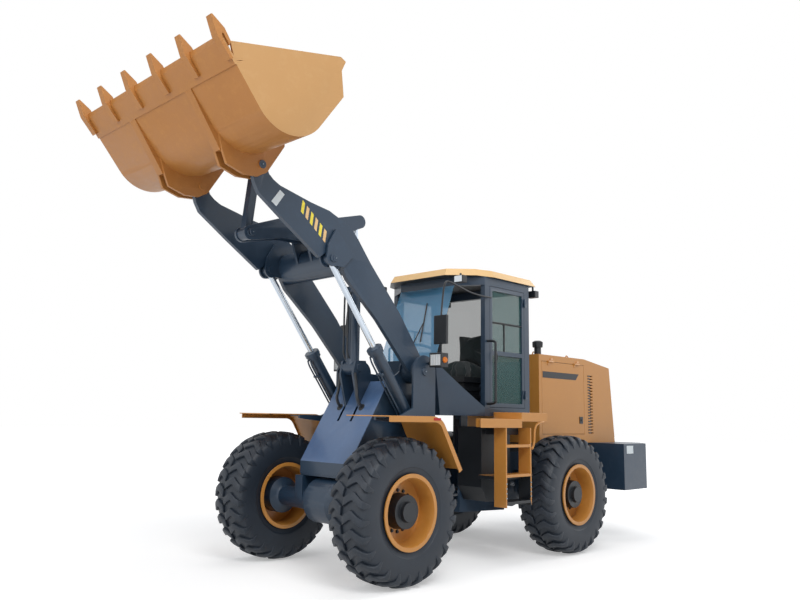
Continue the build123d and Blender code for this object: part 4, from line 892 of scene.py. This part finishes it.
def cushion(name, start, end):
    """A foam cushion between two corners, puffed by cloth pressure."""
    shape = bmesh.new()
    slab(shape, start, end)
    made = finish_piece(shape, name, "seat_cloth", "rear_body")
    remesh = made.modifiers.new("even", "REMESH")
    remesh.mode, remesh.voxel_size = "VOXEL", 0.016
    bpy.context.view_layer.objects.active = made
    with bpy.context.temp_override(object=made, active_object=made, selected_objects=[made]):
        bpy.ops.object.modifier_apply(modifier="even")
    cloth = made.modifiers.new("foam", "CLOTH")
    cloth.settings.use_pressure, cloth.settings.uniform_pressure_force = True, 4
    cloth.settings.effector_weights.gravity = 0
    for step in range(1, 21):
        bpy.context.scene.frame_set(step)
    with bpy.context.temp_override(object=made, active_object=made, selected_objects=[made]):
        bpy.ops.object.modifier_apply(modifier="foam")
    bpy.context.scene.frame_set(1)
    for face in made.data.polygons:
        face.use_smooth = True
    soft = made.modifiers.new("soft", "SUBSURF")
    soft.levels = soft.render_levels = 1
    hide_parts("seat")
    puffed = [max((c.co - (start + end) / 2).length for c in made.data.vertices)]
    print(name, "faces", len(made.data.polygons), "reach", round(puffed[0], 3))
    return made


cushion(
    "seat_cushion", Vector((low.x + 0.11, -0.225, low.z + 0.44)), Vector((high.x - 0.03, 0.225, low.z + 0.54))
)
cushion(
    "seat_back", Vector((low.x + 0.03, -0.215, low.z + 0.56)), Vector((low.x + 0.13, 0.215, high.z - 0.03))
)
base = bmesh.new()
for index in range(6):
    grow = 0.0 if index % 2 else 0.018
    slab(
        base, Vector((low.x + 0.16 - grow, -0.16 - grow, low.z + 0.06 + index * 0.05)),
        Vector((high.x - 0.10 + grow, 0.16 + grow, low.z + 0.11 + index * 0.05)),
    )
slab(base, Vector((low.x + 0.12, -0.19, low.z)), Vector((high.x - 0.06, 0.19, low.z + 0.06)))
slab(base, Vector((low.x + 0.10, -0.20, low.z + 0.36)), Vector((high.x - 0.05, 0.20, low.z + 0.43)))
made = finish_piece(base, "seat_base", "moulded_black", "rear_body", 5, merge=False)
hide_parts("seat")

# %% [markdown]
# The engine hood carries a plain dark band, a lock on each door, a column of cooling slots, lifting
# rings and the air cleaner's inlet, whose moulded bowl spins coarse dust out of the air.

# %% Hood
for word, hand in (("left", 1), ("right", -1)):
    band, lock = bmesh.new(), bmesh.new()
    side_patch(band, f"hood_door_{word}", [(-1480, 2080), (-2252, 2080), (-2331, 2160), (-1480, 2160)], hand)
    spot, out = on_side(f"hood_door_{word}", -2370, 1555, hand)
    slab(lock, spot + Vector((-0.04, 0, -0.045)), spot + Vector((0.04, hand * 0.008, 0.045)))
    rod(lock, spot, spot + out * 0.016, 16, 13)
    finish_piece(band, f"hood_band_{word}", "moulded_black", f"hood_door_{word}")
    finish_piece(lock, f"hood_lock_{word}", "moulded_black", f"hood_door_{word}", 2)
slots, inlet, rings = bmesh.new(), bmesh.new(), bmesh.new()
for hand in (1, -1):
    for index in range(21):
        spot, out = on_side("hood", -2585, 1390 + index * 38, hand)
        slab(
            slots, spot + Vector((-0.032, -hand * 0.004, -0.008)), spot + Vector((0.032, hand * 0.004, 0.008))
        )
    for x in (-1600, -2380):
        route = ((-35, 2366), (-30, 2420), (30, 2420), (35, 2366))
        pipe(rings, [at(x + ahead, hand * 420, z) for ahead, z in route], 16)
rod(inlet, at(-1570, 500, 2366), at(-1570, 500, 2482), 44, sides=32)
rod(inlet, at(-1570, 500, 2472), at(-1570, 500, 2540), 62, 66, sides=40)
rod(inlet, at(-1570, 500, 2540), at(-1570, 500, 2557), 66, 40, sides=40)
for index in range(16):
    way = Matrix.Rotation(2 * math.pi * index / 16, 4, "Z") @ FORWARD
    rod(inlet, at(-1570, 500, 2478) + way * 0.062, at(-1570, 500, 2538) + way * 0.065, 4, sides=8)
finish_piece(slots, "hood_slots", "moulded_black", "rear_body", 2)
finish_piece(rings, "hood_rings", "amber_enamel", "rear_body")
finish_piece(inlet, "air_inlet", "moulded_black", "rear_body", 1)

# %% [markdown]
# A blank sign and a red reflector mark the cast counterweight. A bent handrail helps the operator on to
# the steps, and bolts dress the lower part of the ladders.

# %% Counterweight, rail and steps
signs, reds, rail, screws = (bmesh.new() for _ in range(4))
for hand in (1, -1):
    side_patch(signs, "counterweight", square(-2836, 1135, 171, 101), hand, 2)
    side_patch(reds, "counterweight", square(-3330, 1170, 110, 46), hand, 3)
    route = [(-767, 1528), (-652, 1521), (-583, 1450), (-580, 1273), (-534, 1230)]
    pipe(rail, [at(x, hand * 1112, z) for x, z in route], 26)
    for x in (-498, -52):
        for z in (720, 770, 820, 870):
            place, out = on_side("ladders", x, z, hand)
            if place is not None:
                bolt(screws, place, out, 8)
finish_piece(signs, "counterweight_signs", "blank_sign", "rear_body")
finish_piece(reds, "counterweight_reflectors", "red_reflector", "rear_body", 0.8)
finish_piece(rail, "step_rails", "amber_enamel", "rear_body")
finish_piece(screws, "step_screws", "zinc_plate", "rear_body")
print("rear dressed")

# %% [markdown]
# A plain pale floor and broad soft lamps, as in a product studio. The floor adds a little light of its
# own to what the camera sees, more with distance, so that it reads as white paper that runs into the
# white background but still keeps the machine's shadow.

# %% Floor, lamps and sky


def any_view(tree):
    """One for rays that the viewer sees directly, in a mirror or through glass."""
    seen = node(tree, "ShaderNodeLightPath")
    either = node(
        tree, "ShaderNodeMath", {"operation": "MAXIMUM"}, (), [
            (0, seen, "Is Camera Ray"), (1, seen, "Is Glossy Ray")
        ]
    )
    return node(
        tree, "ShaderNodeMath", {"operation": "MAXIMUM"}, (), [
            (0, either, 0), (1, seen, "Is Transmission Ray")
        ]
    )


finish, tree = new_finish("studio_floor")
where = node(tree, "ShaderNodeTexCoord")
distance = node(tree, "ShaderNodeVectorMath", {"operation": "LENGTH"}, (), [("Vector", where, "Object")])
rise = node(
    tree, "ShaderNodeMapRange", (), {"From Min": 3.0, "From Max": 11.0, "To Min": 0.36, "To Max": 1.0},
    [("Value", distance, "Value")],
)
share = node(tree, "ShaderNodeMath", {"operation": "MULTIPLY"}, (), [(0, any_view(tree), 0), (1, rise, 0)])
paper = node(tree, "ShaderNodeBsdfDiffuse", (), {"Color": (0.86, 0.86, 0.86, 1)})
lift = node(tree, "ShaderNodeEmission", (), {"Color": (1, 1, 1, 1)}, [("Strength", share, 0)])
both = node(tree, "ShaderNodeAddShader", (), (), [(0, paper, 0), (1, lift, 0)])
node(tree, "ShaderNodeOutputMaterial", (), (), [("Surface", both, 0)])
shape = bmesh.new()
bmesh.ops.create_grid(shape, x_segments=1, y_segments=1, size=60)
mesh = bpy.data.meshes.new("studio_floor")
shape.to_mesh(mesh)
shape.free()
mesh.materials.append(finish)
floor = bpy.data.objects.new("studio_floor", mesh)
bpy.context.scene.collection.objects.link(floor)
floor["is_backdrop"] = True

world = bpy.data.worlds.new("studio")
bpy.context.scene.world = world
world.use_nodes = True
tree = world.node_tree
tree.nodes.clear()
soft = node(tree, "ShaderNodeBackground", (), {"Color": (0.93, 0.96, 1.0, 1), "Strength": 0.32})
white = node(tree, "ShaderNodeBackground", (), {"Color": (1, 1, 1, 1), "Strength": 1.0})
mixed = node(tree, "ShaderNodeMixShader", (), (), [(0, any_view(tree), 0), (1, soft, 0), (2, white, 0)])
node(tree, "ShaderNodeOutputWorld", (), (), [("Surface", mixed, 0)])


def lamp(name, spot, target, size, power, colour=(1, 1, 1)):
    """A square soft box at a spot, facing a target."""
    light = bpy.data.lights.new(name, "AREA")
    light.shape, light.size, light.energy, light.color = "SQUARE", size, power, colour
    holder = bpy.data.objects.new(name, light)
    bpy.context.scene.collection.objects.link(holder)
    aim = facing(Vector(spot) - Vector(target))
    holder.matrix_world = Matrix.Translation(spot) @ aim


lamp("key", (5.0, 8.0, 9.0), (0.0, 0.0, 1.5), 5.0, 600)
lamp("front", (10.0, 0.5, 5.0), (0.0, 0.0, 1.8), 5.0, 200)
lamp("top", (0.0, 0.0, 11.0), (0.0, 0.0, 1.0), 7.0, 290)
lamp("rear", (-9.0, 3.0, 6.0), (0.0, 0.0, 1.5), 5.0, 180)
bpy.context.scene.view_settings.view_transform = "Standard"

# %% Finish
low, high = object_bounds()
